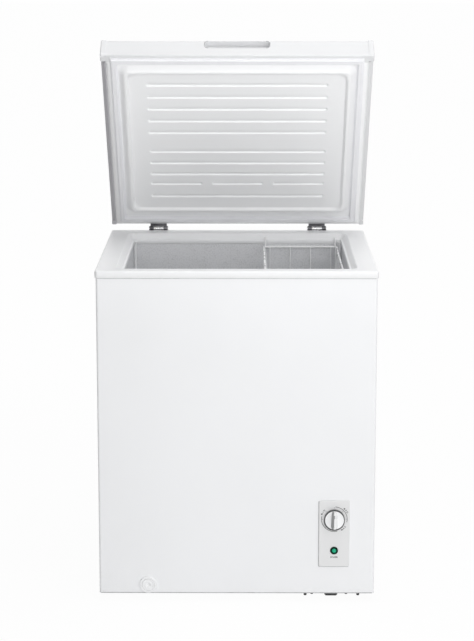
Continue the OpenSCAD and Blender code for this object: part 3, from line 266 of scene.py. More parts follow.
def black_rubber():
    made = Finish("rubber", (0.008, 0.008, 0.0085), 0.8).set("Specular IOR Level", 0.1)
    made.mottle((0.02, 0.019, 0.018), made.noise(0.008, 6), 0.5, 0.8)
    return made.bump(made.noise(0.0008, 4), 0.0001)


def black_plastic():
    made = moulding("black_moulding", (0.028, 0.028, 0.03), 0.5, 0.0008, 0.00007)
    return made.mottle((0.06, 0.06, 0.062), made.noise(0.015, 6), 0.6, 0.85)


def zinc():
    """Zinc plate: bright with a slight yellow passivation."""
    made = drawn_metal("zinc_plate", (0.71, 0.715, 0.72), 0.27)
    return made.mottle((0.68, 0.64, 0.5), made.noise(0.006, 4), 0.55, 0.8)


def panel_grey():
    return moulding("panel_moulding", (0.765, 0.768, 0.772), 0.42, 0.0007, 0.00001)


def knob_white():
    """Satin silver-white knob with a fine turned sheen."""
    made = Finish("knob_satin", (0.9, 0.905, 0.91), 0.3)
    made.mottle((0.86, 0.865, 0.87), made.noise(0.03, 2))
    made.rough(0.26, 0.36, made.noise(0.01, 3))
    return made.bump(made.noise(0.0006, 2), 0.000004)


def brown_phenolic():
    made = Finish("phenolic", (0.2, 0.105, 0.045), 0.45)
    made.mottle((0.12, 0.06, 0.025), made.noise(0.01, 6))
    return made.bump(made.noise(0.001, 3), 0.00006)


def bezel_green():
    made = Finish("bezel", (0.001, 0.03, 0.016), 0.3).set("Specular IOR Level", 0.1)
    made.mottle((0.001, 0.018, 0.01), made.noise(0.004, 3))
    return made.bump(made.noise(0.0006, 2), 0.00003)


def lens_green():
    """Lit lamp lens: clear green over a bright core."""
    made = Finish("lens", (0.008, 0.3, 0.16), 0.2).set("Specular IOR Level", 0.2)
    made.mottle((0.02, 0.42, 0.24), made.cells(0.0016, 0.4), 0.2, 0.7)
    made.set("Emission Color", (0.02, 0.62, 0.3, 1)).set("Emission Strength", 0.08)
    return made.bump(made.cells(0.0016, 0.4), 0.0003)


def gasket_grey():
    made = Finish("gasket_vinyl", (0.86, 0.862, 0.885), 0.55)
    made.mottle((0.84, 0.842, 0.866), made.noise(0.05, 2))
    made.rough(0.48, 0.66, made.noise(0.01, 4))
    return made.bump(made.noise(0.0011, 3), 0.00001)


def coated_wire():
    """Dipped vinyl coat: thick, slightly uneven, glossy."""
    made = Finish("dipped_vinyl", (0.93, 0.935, 0.94), 0.3)
    made.mottle((0.9, 0.905, 0.91), made.noise(0.03, 3))
    made.rough(0.24, 0.38, made.noise(0.02, 3))
    return made.bump(made.noise(0.006, 2), 0.00002).set("Coat Weight", 0.2)


def dark_hinge():
    """Blackened zinc with brighter rubbed patches."""
    made = drawn_metal("hinge_steel", (0.2, 0.2, 0.21), 0.38, dull=0.6)
    return made.mottle((0.42, 0.42, 0.43), made.noise(0.007, 6), 0.6, 0.8)


SLOTS = (white_steel, grey_steel, white_plastic, soft_white_plastic, embossed_aluminium, foam,
         bare_aluminium, copper_pipe, black_enamel, black_rubber, black_plastic, zinc, panel_grey,
         knob_white, brown_phenolic, bezel_green, lens_green, gasket_grey, coated_wire, dark_hinge)
FINISHES = {make.__name__: make().material for make in SLOTS}


def print_and_painted_shadow_grey():
    """Pad-printed ink, a little uneven; also used for the painted shadow round the knob and the painted shade on
    its rim.
    """
    made = Finish("printed_ink_and_painted_shadow", (0.07, 0.071, 0.074), 0.6).set("Specular IOR Level", 0.2)
    made.mottle((0.11, 0.111, 0.115), made.noise(0.003, 4))
    return made.bump(made.noise(0.0006, 2), 0.00001)


def knob_flank_painted_shade():
    """Painted shade: a dark satin band down the left side of the knob's ridge, standing in for its shadow side."""
    made = Finish("knob_flank_painted_shade", (0.27, 0.275, 0.28), 0.4)
    made.mottle((0.36, 0.365, 0.37), made.noise(0.01, 3, (1, 1, 0.2)))
    return made.bump(made.noise(0.0006, 2), 0.000006)


def lid_moulding_painted_shade():
    """Painted shade: the lid's long mouldings in a darker copy of the white moulding, holding back the lamps'
    light on them.
    """
    return moulding("lid_moulding_painted_shade", (0.745, 0.75, 0.76), 0.36)


def left_trim_painted_shade():
    """Painted shade: a grey copy of the trim moulding, used on the left lid trim only so that it reads as in
    shadow.
    """
    return moulding("left_trim_painted_shade", (0.5, 0.495, 0.52), 0.45)


def seam_painted_shadow_grey():
    """Painted shadow: grey for the shadow lines under the frame's skirt, by the control panel and at the grip's
    ends, and for the cut sheet edge along the cabinet's foot; a little dirty.
    """
    made = Finish("seam_painted_shadow_grey", (0.5, 0.505, 0.515), 0.6)
    made.mottle((0.42, 0.425, 0.43), made.noise(0.02, 5))
    return made.bump(made.noise(0.002, 3), 0.00003)


for extra in (print_and_painted_shadow_grey, knob_flank_painted_shade, lid_moulding_painted_shade, left_trim_painted_shade, seam_painted_shadow_grey):
    FINISHES[extra.__name__] = extra().material


# ---------- Shapes ----------

def piece(name, bm, body, slot, finish=None, replaces=(), sharp=40):
    """Makes a piece from a bmesh, gives it the finish named, else its slot's, and lets it ride on a body."""
    bmesh.ops.remove_doubles(bm, verts=bm.verts, dist=1e-6)
    bmesh.ops.recalc_face_normals(bm, faces=bm.faces)
    mesh = bpy.data.meshes.new(name)
    bm.to_mesh(mesh)
    bm.free()
    mesh.shade_smooth()
    mesh.set_sharp_from_angle(angle=math.radians(sharp))
    mesh.materials.append(FINISHES[finish or slot])
    made = bpy.data.objects.new(name, mesh)
    bpy.context.scene.collection.objects.link(made)
    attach(made, body)
    if replaces:
        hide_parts(*replaces)
    return made


def transform(bm, *matrices):
    for matrix in matrices:
        bmesh.ops.transform(bm, matrix=matrix, verts=bm.verts)
    return bm


def skin(bm, rings, closed=False):
    """Joins loops of points into one skin: the last to the first if closed, capped if not."""
    rows = [[bm.verts.new(point) for point in ring] for ring in rings]
    pairs = list(zip(rows, rows[1:])) + ([(rows[-1], rows[0])] if closed else [])
    for one, other in pairs:
        for i in range(len(one)):
            j = (i + 1) % len(one)
            bm.faces.new((one[i], one[j], other[j], other[i]))
    if not closed:
        bm.faces.new(rows[0])
        bm.faces.new(rows[-1])
    return bm


# turns that bring a solid of revolution's axis from +Z to the named one
TURN_AXES = {"-Y": Matrix.Rotation(math.radians(90), 4, "X"),
             "X": Matrix.Rotation(math.radians(90), 4, "Y")}


def circle(radius, along, steps):
    """Points round the Z axis, a distance along it."""
    angles = [2 * math.pi * i / steps for i in range(steps)]
    return [(radius * math.cos(a), radius * math.sin(a), along) for a in angles]


def turned(profile, axis_place, axis, steps, ring=False):
    """Solid of revolution: profile lists (radius, distance along the axis); ring closes it."""
    bm = skin(bmesh.new(), [circle(radius, along, steps) for radius, along in profile], ring)
    return transform(bm, TURN_AXES[axis], Matrix.Translation(axis_place))


def wire(bm, points, radius, steps):
    """Round wire through the points, mitred at each."""
    points = [Vector(point) for point in points]
    last = len(points) - 1
    rings = []
    normal = None
    for i, point in enumerate(points):
        before = points[i - 1] if i else point
        after = points[i + 1] if i < last else point
        tangent = (after - before).normalized()
        if normal is None:
            normal = tangent.orthogonal().normalized()
        normal = (normal - tangent * normal.dot(tangent)).normalized()
        across = tangent.cross(normal)
        rings.append([point + radius * (math.cos(a) * normal + math.sin(a) * across)
                      for a in (2 * math.pi * k / steps for k in range(steps))])
    return skin(bm, rings)


def rounded_rect(low, high, radius):
    """Points (x, y) round a rectangle with rounded corners."""
    corners = ((high[0] - radius, high[1] - radius, 0), (low[0] + radius, high[1] - radius, 90),
               (low[0] + radius, low[1] + radius, 180), (high[0] - radius, low[1] + radius, 270))
    points = []
    for x, y, start in corners:
        for i in range(CORNER_STEPS + 1):
            a = math.radians(start + 90 * i / CORNER_STEPS)
            points.append((x + radius * math.cos(a), y + radius * math.sin(a)))
    return points


def ramped(value, start, end):
    """Smooth step from 0 at start to 1 at end."""
    t = min(max((value - start) / (end - start), 0), 1)
    return t * t * (3 - 2 * t)


def spaced(low, high, coarse, fine, marks):
    """Grid lines from low to high: fine within each (mark, reach), coarse elsewhere."""
    lines = [low]
    while lines[-1] < high - 1e-9:
        near = any(abs(lines[-1] + fine / 2 - mark) < reach for mark, reach in marks)
        step = fine if near else coarse
        for mark, reach in marks:
            if lines[-1] < mark - reach < lines[-1] + step:
                step = max(mark - reach - lines[-1], fine)
        lines.append(min(lines[-1] + step, high))
    return lines


# ---------- Lid ----------

LID_TURN = (Matrix.Translation(LID_HINGE) @ Matrix.Rotation(-LID_OPEN, 4, "X")
            @ Matrix.Translation(-LID_HINGE))


def closed_points(node):
    """Corners of one of the lid's nodes with the lid shut."""
    back = LID_TURN.inverted()
    return [back @ vertex.co for vertex in NODES[node].data.vertices]


def closed_box(node):
    """Lowest and highest corner of one of the lid's nodes with the lid shut."""
    corners = closed_points(node)
    return Vector(map(min, *corners)), Vector(map(max, *corners))


def clusters(values, gap):
    """Sorted values split wherever the next one is more than gap away."""
    groups = []
    for value in sorted(values):
        if groups and value - groups[-1][-1] <= gap:
            groups[-1].append(value)
        else:
            groups.append([value])
    return groups


def extent(points, axis):
    """Lowest and highest value of the points on one axis."""
    values = [point[axis] for point in points]
    return min(values), max(values)


def read_grooves(points):
    """Middle of each pressed groove with the spans it covers, from its bottom's corners."""
    row_gap = 9 * MM
    part_gap = 30 * MM
    grooves = []
    for row in clusters([point.y for point in points], row_gap):
        across = [point.x for point in points if row[0] <= point.y <= row[-1]]
        parts = clusters(across, part_gap)
        if len(parts) == 2:
            spans = [(min(across), max(across))]
        else:
            # a groove broken in three has four groups: its ends and its two breaks
            spans = [(one[-1] if i else one[0], other[0] if i < 2 else other[-1])
                     for i, (one, other) in enumerate(zip(parts, parts[1:]))]
        grooves.append(((row[0] + row[-1]) / 2, spans))
    return grooves


def add_lid_liner():
    """The vacuum-formed inner sheet: crown, sunk panel and its grooves, all with soft edges."""
    points = closed_points("lid_inner_liner")
    low, high = closed_box("lid_inner_liner")
    # the panel's floor and the grooves' bottoms are the levels with the most corners
    common = Counter(round(point.z / MM, 1) for point in points).most_common(2)
    floor_z, pressed_z = (level * MM for level, _ in common)
    underside = closed_box("lid_gasket")[1].z
    drop = underside - low.z
    recess = floor_z - low.z
    pressed = pressed_z - floor_z
    crown, floor, pressings = ([point for point in points if abs(point.z - level) < 0.1 * MM]
                               for level in (low.z, floor_z, pressed_z))
    (left, right), (front, back) = extent(crown, 0), extent(crown, 1)
    middle = ((left + right) / 2, (front + back) / 2)
    half = ((right - left) / 2, (back - front) / 2)
    (left, right), (front, back) = extent(floor, 0), extent(floor, 1)
    panel_half = ((right - left) / 2, (back - front) / 2)
    flare = 13 * MM
    crown_corner = 13 * MM
    panel_corner = 17 * MM
    groove_reach = 8 * MM
    groove_end = 3 * MM
    groove_foot, groove_lip = 1.8 * MM, 5.5 * MM
    grooves = read_grooves(pressings)

    def outside(x, y, size, radius):
        """Distance outside a rounded rectangle round the middle."""
        px = abs(x - middle[0]) - size[0] + radius
        py = abs(y - middle[1]) - size[1] + radius
        return math.hypot(max(px, 0), max(py, 0)) + min(max(px, py), 0) - radius

    def groove_depth(x, y):
        nearest = 1.0
        for place, spans in grooves:
            if abs(y - place) < groove_reach:
                for start, end in spans:
                    along = max(start + groove_end - x, x - end + groove_end, 0)
                    nearest = min(nearest, math.hypot(along, y - place))
        return pressed * (1 - ramped(nearest, groove_foot, groove_lip))

    def height(x, y):
        """How far the sheet hangs below the lid's underside."""
        flank = outside(x, y, half, crown_corner)
        hang = drop * min(max(1 - flank / flare, 0), 1)
        shoulder = 3 * MM
        if -shoulder < flank < shoulder:
            t = (flank + shoulder) / (2 * shoulder)
            hang = drop * (1 - t * t * shoulder / flare)
        elif flare - shoulder < flank < flare + shoulder:
            t = (flare + shoulder - flank) / (2 * shoulder)
            hang = drop * t * t * shoulder / flare
        hang -= recess * ramped(-outside(x, y, panel_half, panel_corner), -4.5 * MM, 2 * MM)
        return hang - groove_depth(x, y)

    # grid lines: fine over the flare, the grooves' sides and their ends, coarse elsewhere
    marks_x = [(middle[0] + side * (half[0] + 3 * MM), 15 * MM) for side in (-1, 1)]
    ends = sorted({end for _, spans in grooves for span in spans for end in span})
    marks_x += [(group[0], 9 * MM) for group in clusters(ends, 4 * MM)]
    marks_y = [(middle[1] + side * (half[1] + 3 * MM), 15 * MM) for side in (-1, 1)]
    marks_y += [(place, 7 * MM) for place, _ in grooves]
    across = spaced(low.x, high.x, 9 * MM, 1.3 * MM, sorted(marks_x))
    along = spaced(low.y, high.y, 6 * MM, 1.1 * MM, sorted(marks_y))
    bm = bmesh.new()
    rows = [[bm.verts.new(LID_TURN @ Vector((x, y, underside - height(x, y)))) for x in across]
            for y in along]
    for one, other in zip(rows, rows[1:]):
        for i in range(len(across) - 1):
            bm.faces.new((one[i], one[i + 1], other[i + 1], other[i]))
    made = piece("lid_liner_sheet", bm, "lid", "soft_white_plastic",
                 replaces=("lid_inner_liner",), sharp=60)
    sheet = made.modifiers.new("sheet", "SOLIDIFY")
    sheet.thickness = 1.2 * MM
    sheet.offset = 1


def add_lid_gasket():
    """Gasket: a bulb with a shallow groove between two thin lips, mitred at the corners."""
    low, high = closed_box("lid_gasket")
    width = 16 * MM
    depth = high.z - low.z
    # across from the outer edge and down from the lid, both as shares of the section
    section = ((0.0, 0.02), (0.0, 0.3), (0.04, 0.38), (0.1, 0.4), (0.14, 0.36), (0.16, 0.5),
               (0.15, 0.82), (0.19, 0.95), (0.27, 1.0), (0.45, 1.0), (0.48, 0.96), (0.52, 0.96),
               (0.55, 1.0), (0.73, 1.0), (0.81, 0.95), (0.85, 0.82), (0.84, 0.5), (0.86, 0.36),
               (0.9, 0.4), (0.96, 0.38), (1.0, 0.3), (1.0, 0.02))
    corners = ((1, 1), (-1, 1), (-1, -1), (1, -1))
    rings = []
    for side_x, side_y in corners:
        ring = []
        for across, down in section:
            stand = across * width
            x = high.x - stand if side_x > 0 else low.x + stand
            y = high.y - stand if side_y > 0 else low.y + stand
            ring.append(LID_TURN @ Vector((x, y, high.z - down * depth)))
        rings.append(ring)
    bm = skin(bmesh.new(), rings, closed=True)
    piece("lid_gasket_seal", bm, "lid", "gasket_grey", replaces=("lid_gasket",), sharp=50)


# ---------- Cabinet ----------

def rect_ring(low, high, radius, z):
    """A rounded rectangle of points at height z."""
    return [Vector((x, y, z)) for x, y in rounded_rect(low, high, radius)]


def grown(low, high, by):
    """A rectangle's two corners, moved outwards by a distance."""
    return (low[0] - by, low[1] - by), (high[0] + by, high[1] + by)


def add_top_frame():
    """Moulded frame in one skin: rolled edge, flat band, slope, ledge and lip with soft bends."""
    low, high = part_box("top_frame")
    liner_low, liner_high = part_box("inner_liner")
    wall = 2 * MM
    liner_t = 1 * MM
    throat = grown(liner_low, liner_high, -wall - liner_t)
    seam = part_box("outer_wrapper")[1].z - FRAME_SKIRT
    ledge = liner_high.z + wall
    frame_corner = 8 * MM
    roll = 4 * MM
    bend = 1.5 * MM
    rings = []

    def outer(by, z, radius):
        rings.append(rect_ring(*grown(low, high, -by), radius, z))

    def inner(by, z, radius):
        rings.append(rect_ring(*grown(*throat, by), max(radius, 1 * MM), z))

    outer(wall, seam, 6 * MM)
    outer(0.4 * MM, seam, 7.6 * MM)
    outer(0, seam + 0.4 * MM, frame_corner)
    for i in range(7):
        a = math.radians(15 * i)
        back = roll * (1 - math.cos(a))
        outer(back, high.z - roll * (1 - math.sin(a)), frame_corner - back)
    # a shallow crown keeps water off the band
    outer(roll + 3 * MM, high.z, 4 * MM)
    slope = 14 * MM
    shelf = 4 * MM
    corner = 5 * MM
    fall = (high.z - ledge) / (slope - shelf)
    inner(slope + bend * 1.3, high.z, corner + slope)
    inner(slope + bend * 0.4, high.z - 0.15 * MM, corner + slope)
    inner(slope - bend * 0.6, high.z - bend * 0.75 * fall, corner + slope)
    inner(shelf + bend * 0.8, ledge + bend * 0.8 * fall, corner + shelf)
    inner(shelf - bend * 0.2, ledge + 0.12 * MM, corner + shelf)
    inner(shelf - bend, ledge, corner + shelf)
    inner(bend, ledge, corner + bend)
    inner(0.35 * bend, ledge - 0.3 * bend, corner)
    inner(0, ledge - bend, corner)
    inner(0, low.z + 0.6 * MM, corner)
    inner(0.5 * MM, low.z, corner)
    inner(wall - 0.4 * MM, low.z, corner + wall)
    inner(wall, low.z + 0.4 * MM, corner + wall)
    inner(wall, ledge - wall, corner + wall)
    inner(shelf + wall, ledge - wall, corner + shelf + wall)
    inner(slope + wall, high.z - wall, corner + slope + wall)
    outer(roll + wall, high.z - wall, 3 * MM)
    outer(wall, high.z - roll - wall, 6 * MM)
    bm = skin(bmesh.new(), rings, closed=True)
    piece("top_frame_moulding", bm, "cabinet", "white_plastic", replaces=("top_frame",), sharp=50)


def add_liner_beads():
    """White beads up the liner's four inner corners."""
    low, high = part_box("inner_liner")
    floor_low, floor_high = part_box("liner_floor")
    liner_t = 1 * MM
    bead_r = 3.4 * MM
    inset = 4.2 * MM
    for side_x in (-1, 1):
        for side_y in (-1, 1):
            x = (low.x + liner_t if side_x < 0 else high.x - liner_t) - side_x * inset
            y = (low.y + liner_t if side_y < 0 else high.y - liner_t) - side_y * inset
            foot = floor_low.z if side_x < 0 else floor_high.z
            ends = [(x, y, foot + 4 * MM), (x, y, high.z - 5 * MM)]
            bm = wire(bmesh.new(), ends, bead_r, 18)
            name = "liner_corner_bead_%d%d" % (side_x > 0, side_y > 0)
            piece(name, bm, "cabinet", "white_plastic")


# ---------- Controls ----------

def words(text, size, name, place, turn=0.0):
    """Printed lettering on the control panel, facing the front."""
    curve = bpy.data.curves.new(name, "FONT")
    curve.body = text
    curve.size = size
    curve.extrude = PRINT_T / 2
    curve.offset = size * 0.025
    curve.align_x = "CENTER"
    curve.align_y = "CENTER"
    letters = bpy.data.objects.new(name, curve)
    bpy.context.scene.collection.objects.link(letters)
    bpy.context.view_layer.update()
    drawn = letters.evaluated_get(bpy.context.evaluated_depsgraph_get())
    mesh = bpy.data.meshes.new_from_object(drawn)
    bpy.data.objects.remove(letters)
    bm = bmesh.new()
    bm.from_mesh(mesh)
    bpy.data.meshes.remove(mesh)
    transform(bm, Matrix.Rotation(turn, 4, "Z"), Matrix.Rotation(math.radians(90), 4, "X"),
              Matrix.Translation(place))
    piece(name, bm, "cabinet", "panel_grey", "print_and_painted_shadow_grey")


def arc_strip(bm, centre, radius, width, start, end, y, steps=40):
    """Flat printed arc facing the front; angles are clock degrees from twelve."""
    rings = []
    for i in range(steps + 1):
        a = math.radians(start + (end - start) * i / steps)
        way = Vector((math.sin(a), 0, math.cos(a)))
        near = centre + way * (radius - width / 2)
        far = centre + way * (radius + width / 2)
        rings.append([Vector((near.x, y, near.z)), Vector((far.x, y, far.z)),
                      Vector((far.x, y - PRINT_T, far.z)), Vector((near.x, y - PRINT_T, near.z))])
    return skin(bm, rings)


# words round the dial: text, clock degrees, radius in millimetres, read from below
DIAL_WORDS = (("MIN", 302, 30.5, False), ("MED", 52, 33, False), ("MAX", 136, 30.5, True))
# clock degrees between two letters
LETTER_STEP = 9


def add_dial_marks():
    """Printed scale round the thermostat knob, a painted shadow ring round it, and the word under the lamp."""
    knob_low, knob_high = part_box("thermostat_knob")
    centre = (knob_low + knob_high) / 2
    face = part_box("control_panel")[0].y
    bm = bmesh.new()
    for start, end in ((4, 104), (166, 284)):
        arc_strip(bm, centre, 29 * MM, 1.1 * MM, start, end, face)
    for i in range(7):
        tick = -135 + 45 * i
        arc_strip(bm, centre, 26.6 * MM, 1.6 * MM, tick - 1, tick + 1, face, steps=1)
    piece("dial_scale", bm, "cabinet", "panel_grey", "print_and_painted_shadow_grey")
    for text, middle, radius, below in DIAL_WORDS:
        for i, letter in enumerate(text):
            way = math.radians(middle + (i - 1) * LETTER_STEP * (-1 if below else 1))
            turn = math.pi - way if below else -way
            spot = Vector((centre.x + radius * MM * math.sin(way), face,
                           centre.z + radius * MM * math.cos(way)))
            words(letter, 5.2 * MM, "dial_%s_%d" % (text.lower(), i), spot, turn)
    lamp_low, lamp_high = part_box("lamp_bezel")
    words("POWER", 4.8 * MM, "lamp_word",
          Vector(((lamp_low.x + lamp_high.x) / 2, face, lamp_low.z - 7 * MM)))
    rim = (knob_high.x - knob_low.x) / 2
    # painted shadow: a dark ring round the knob, dropped so that a crescent of it shows under the knob
    shadow_drop = 3.7 * MM
    profile = ((rim + 0.6 * MM, 0), (rim + 0.6 * MM, 0.4 * MM), (rim + 0.2 * MM, 0.6 * MM),
               (rim - 4.6 * MM, 0.6 * MM), (rim - 5 * MM, 0))
    ring = turned(profile, Vector((centre.x, face, centre.z - shadow_drop)), "-Y", 72, ring=True)
    piece("dial_shadow_ring", ring, "cabinet", "panel_grey", "print_and_painted_shadow_grey")


def add_knob():
    """Thermostat knob: rolled rim, shallow dish and a tapered ridge with a pointer line."""
    low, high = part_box("thermostat_knob")
    centre = Vector(((low.x + high.x) / 2, high.y, (low.z + high.z) / 2))
    radius = (high.x - low.x) / 2
    height = high.y - low.y
    skirt = height * 0.42
    profile = ((radius - 2.5 * MM, 0.4 * MM), (radius - 0.8 * MM, 0), (radius, 0.8 * MM),
               (radius, skirt - 1.6 * MM), (radius - 0.5 * MM, skirt - 0.5 * MM),
               (radius - 1.8 * MM, skirt), (radius - 3.4 * MM, skirt - 0.4 * MM),
               (radius * 0.6, skirt - 1.3 * MM), (radius * 0.3, skirt - 1.7 * MM),
               (1 * MM, skirt - 1.8 * MM))
    bm = turned(profile, centre, "-Y", 96)
    disc = piece("knob_disc", bm, "knob", "knob_white", replaces=("thermostat_knob",))
    # painted shade: faces near the knob's edge take the dark ink, standing in for the shadow at its edge
    disc.data.materials.append(FINISHES["print_and_painted_shadow_grey"])
    painted_shade_rim = 1.5 * MM
    for face in disc.data.polygons:
        spot = face.center - centre
        if math.hypot(spot.x, spot.z) > radius - painted_shade_rim:
            face.material_index = 1
    # ridge: stations up the face, each a bevelled section
    rings = []
    reach = radius - 2.2 * MM
    half_base, half_crest = 8.6 * MM, 2.3 * MM
    narrowing = 0.28
    stations = 18
    for i in range(stations + 1):
        t = i / stations
        z = -reach + 2 * reach * t
        taper = 1 - narrowing * t
        fade = math.sqrt(max(1 - (2 * t - 1) ** 8, 0.02))
        base = half_base * taper * (0.55 + 0.45 * fade)
        crest = half_crest * taper * (0.4 + 0.6 * fade)
        top = skirt + (height - skirt) * (0.25 + 0.75 * fade)
        foot = skirt - 2 * MM
        section = ((-base, foot), (-base * 0.94, foot + 1.4 * MM),
                   (-crest - 0.3 * MM, top - 0.7 * MM), (-crest + 0.9 * MM, top),
                   (crest - 0.9 * MM, top), (crest + 0.3 * MM, top - 0.7 * MM),
                   (base * 0.94, foot + 1.4 * MM), (base, foot))
        rings.append([centre + Vector((x, -out, z)) for x, out in section])
    ridge = piece("knob_ridge", skin(bmesh.new(), rings), "knob", "knob_white", sharp=30)
    # painted shade: the ridge's left-facing faces take the dark flank finish
    ridge.data.materials.append(FINISHES["knob_flank_painted_shade"])
    for face in ridge.data.polygons:
        if face.normal.x < -0.5:
            face.material_index = 1
    line = bmesh.new()
    bmesh.ops.create_cube(line, size=1)
    transform(line, Matrix.Diagonal((1.1 * MM, 0.3 * MM, 8 * MM, 1)),
              Matrix.Translation(centre + Vector((0, -height - 0.02 * MM, reach * 0.52))))
    bmesh.ops.bevel(line, geom=line.edges[:], offset=0.12 * MM, segments=1, affect="EDGES")
    piece("knob_pointer", line, "knob", "knob_white", "print_and_painted_shadow_grey")


def add_drain_details():
    """Raised ring and a printed turning arrow on the drain dial."""
    low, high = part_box("drain_dial")
    centre = Vector(((low.x + high.x) / 2, low.y, (low.z + high.z) / 2))
    radius = (high.x - low.x) / 2
    profile = ((radius * 0.62, 0), (radius * 0.62, 0.25 * MM), (radius * 0.57, 0.5 * MM),
               (radius * 0.5, 0.5 * MM), (radius * 0.44, 0.2 * MM), (radius * 0.44, 0))
    bm = turned(profile, centre, "-Y", 60, ring=True)
    piece("drain_dial_ring", bm, "dial", "white_plastic")
    bm = bmesh.new()
    arc_strip(bm, centre, radius * 0.8, 0.9 * MM, 25, 110, centre.y)
    arc_strip(bm, centre, radius * 0.8, 2.2 * MM, 108, 113, centre.y, steps=1)
    piece("drain_dial_arrow", bm, "dial", "white_plastic", "panel_grey")


def hex_head(place, across, height, name):
    """Black hexagon screw head on a washer face, pointing down."""
    bm = bmesh.new()
    skin(bm, [circle(grow * across / math.sqrt(3), along * height, 6)
              for grow, along in ((0.96, 0), (1.0, 0.12), (1.0, 0.8), (0.93, 1.0))])
    skin(bm, [circle(across * grow * 0.72, along * height, 24)
              for grow, along in ((0.9, -0.02), (1.0, 0.02), (1.0, 0.16), (0.94, 0.2))])
    transform(bm, Matrix.Rotation(math.pi, 4, "X"), Matrix.Translation(place))
    piece(name, bm, "cabinet", "zinc", "black_enamel", sharp=30)


# screws in the front's turned-in edge: offset from the right foot, width and height in mm
SILL_SCREWS = ((-60, 6, 6.5), (-45, 5.5, 3.6), (33, 5.5, 3.6), (60, 6, 6.5))


def add_sill_screws():
    """Dark screws up into the front's turned-in edge on both sides of the right foot."""
    low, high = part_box("front_right_foot")
    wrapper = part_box("outer_wrapper")[0]
    middle = (low.x + high.x) / 2
    setback = 7 * MM
    for i, (offset, across, height) in enumerate(SILL_SCREWS):
        place = Vector((middle + offset * MM, wrapper.y + setback, wrapper.z))
        hex_head(place, across * MM, height * MM, "sill_screw_%d" % i)


def add_hinge_sleeves():
    """Bright rolled sleeve over the middle of each hinge's knuckle, crimped at both ends."""
    half = 12.5 * MM
    for side in ("left", "right"):
        pin_low, pin_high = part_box(side + "_hinge_pin")
        leaf_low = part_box(side + "_hinge_leaf")[0]
        middle = (pin_low + pin_high) / 2
        radius = max(middle.z - leaf_low.z, middle.y - leaf_low.y) + 0.25 * MM
        profile = ((radius - 0.4 * MM, -half), (radius, -half + 0.3 * MM),
                   (radius + 0.15 * MM, -half + 1.2 * MM), (radius, -half + 2 * MM),
                   (radius, half - 2 * MM), (radius + 0.15 * MM, half - 1.2 * MM),
                   (radius, half - 0.3 * MM), (radius - 0.4 * MM, half))
        bm = turned(profile, middle, "X", 40, ring=True)
        piece(side + "_hinge_sleeve", bm, "lid", "zinc")


def strip_round(low, high, radius, bottom, top, proud):
    """Thin band round a rectangle, its face proud of it, from bottom to top."""
    deep = 0.6 * MM
    edge = min(0.3 * MM, (top - bottom) / 4)
    rings = [rect_ring(*grown((low.x, low.y), (high.x, high.y), by), radius + by, z) for by, z in
             ((-deep, bottom), (proud - edge, bottom), (proud, bottom + edge), (proud, top - edge),
              (proud - edge, top), (-deep, top))]
    return skin(bmesh.new(), rings, closed=True)


def add_painted_shadow_lines():
    """Painted shadow lines: a grey band under the frame's skirt, and a grey hem along the cabinet's foot that is
    both its cut edge and the shadow under it.
    """
    low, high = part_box("outer_wrapper")
    seam = high.z - FRAME_SKIRT
    # painted shadow: grey band under the frame's overhanging skirt
    bead = strip_round(low, high, CABINET_CORNER, seam - 1.5 * MM, seam, 0.4 * MM)
    piece("frame_skirt_painted_shadow", bead, "cabinet", "white_plastic", "seam_painted_shadow_grey", sharp=60)
    # cut edge of the sheet, grey also as painted shadow under the cabinet
    hem = strip_round(low, high, CABINET_CORNER, low.z, low.z + 2.2 * MM, 0.3 * MM)
    piece("foot_hem_and_painted_shadow", hem, "cabinet", "grey_steel", "seam_painted_shadow_grey", sharp=60)


def add_panel_edge():
    """Painted shadow: a grey strip along the control panel's left and lower edge, where its shade falls."""
    low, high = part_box("control_panel")
    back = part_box("outer_wrapper")[0].y
    out = 1.3 * MM
    turn = 3 * MM
    under = 3 * MM
    short = 2 * MM
    outline = [(low.x - out, high.z - short), (low.x - out, low.z - out + turn)]
    outline += [(low.x - out + turn - turn * math.cos(a), low.z - out + turn - turn * math.sin(a))
                for a in (math.radians(15 * i) for i in range(1, 6))]
    outline += [(low.x - out + turn, low.z - out), (high.x - short, low.z - out),
                (high.x - short, low.z + under), (low.x + under, low.z + under),
                (low.x + under, high.z - short)]
    rings = [[Vector((x, y, z)) for x, z in outline] for y in (back - 1.2 * MM, back)]
    piece("panel_painted_shadow_edge", skin(bmesh.new(), rings), "cabinet", "panel_grey", "seam_painted_shadow_grey", sharp=30)


def add_grip_ends():
    """Painted shadow: a grey wire bent round either end of the grip recess, standing in for the shade on its end
    walls.
    """
    points = closed_points("lid_handle")
    low, high = closed_box("lid_handle")
    inside = [point for point in points if low.y + 7.5 * MM < point.y < high.y - 1 * MM]
    # the recess's floor is the level inside the strip with the most corners
    depth = Counter(round(point.y / MM, 1) for point in inside).most_common(1)[0][0] * MM
    floor = [point for point in inside if abs(point.y - depth) < 0.1 * MM]
    (left, right), (bottom, top) = extent(floor, 0), extent(floor, 2)
    reach = 9 * MM
    front = low.y - 0.1 * MM
    for name, side, end in (("grip_end_painted_shadow_left", -1, left), ("grip_end_painted_shadow_right", 1, right)):
        path = []
        for z, start in ((top, 90), (bottom, 0)):
            centre_z = z - reach if start else z + reach
            for i in range(7):
                a = math.radians(start - 15 * i)
                path.append(LID_TURN @ Vector((end - side * reach + side * reach * math.cos(a),
                                               front, centre_z + reach * math.sin(a))))
        bm = wire(bmesh.new(), path, 0.7 * MM, 8)
        piece(name, bm, "lid", "white_plastic", "seam_painted_shadow_grey")


# nodes whose finish differs from their slot's; the lid's mouldings take darker copies as painted shade, the left
# trim darkest
OWN_FINISH = {"lid_handle": "lid_moulding_painted_shade", "left_end_cap": "lid_moulding_painted_shade",
              "right_end_cap": "lid_moulding_painted_shade", "left_lid_trim": "left_trim_painted_shade",
              "right_lid_trim": "lid_moulding_painted_shade"}
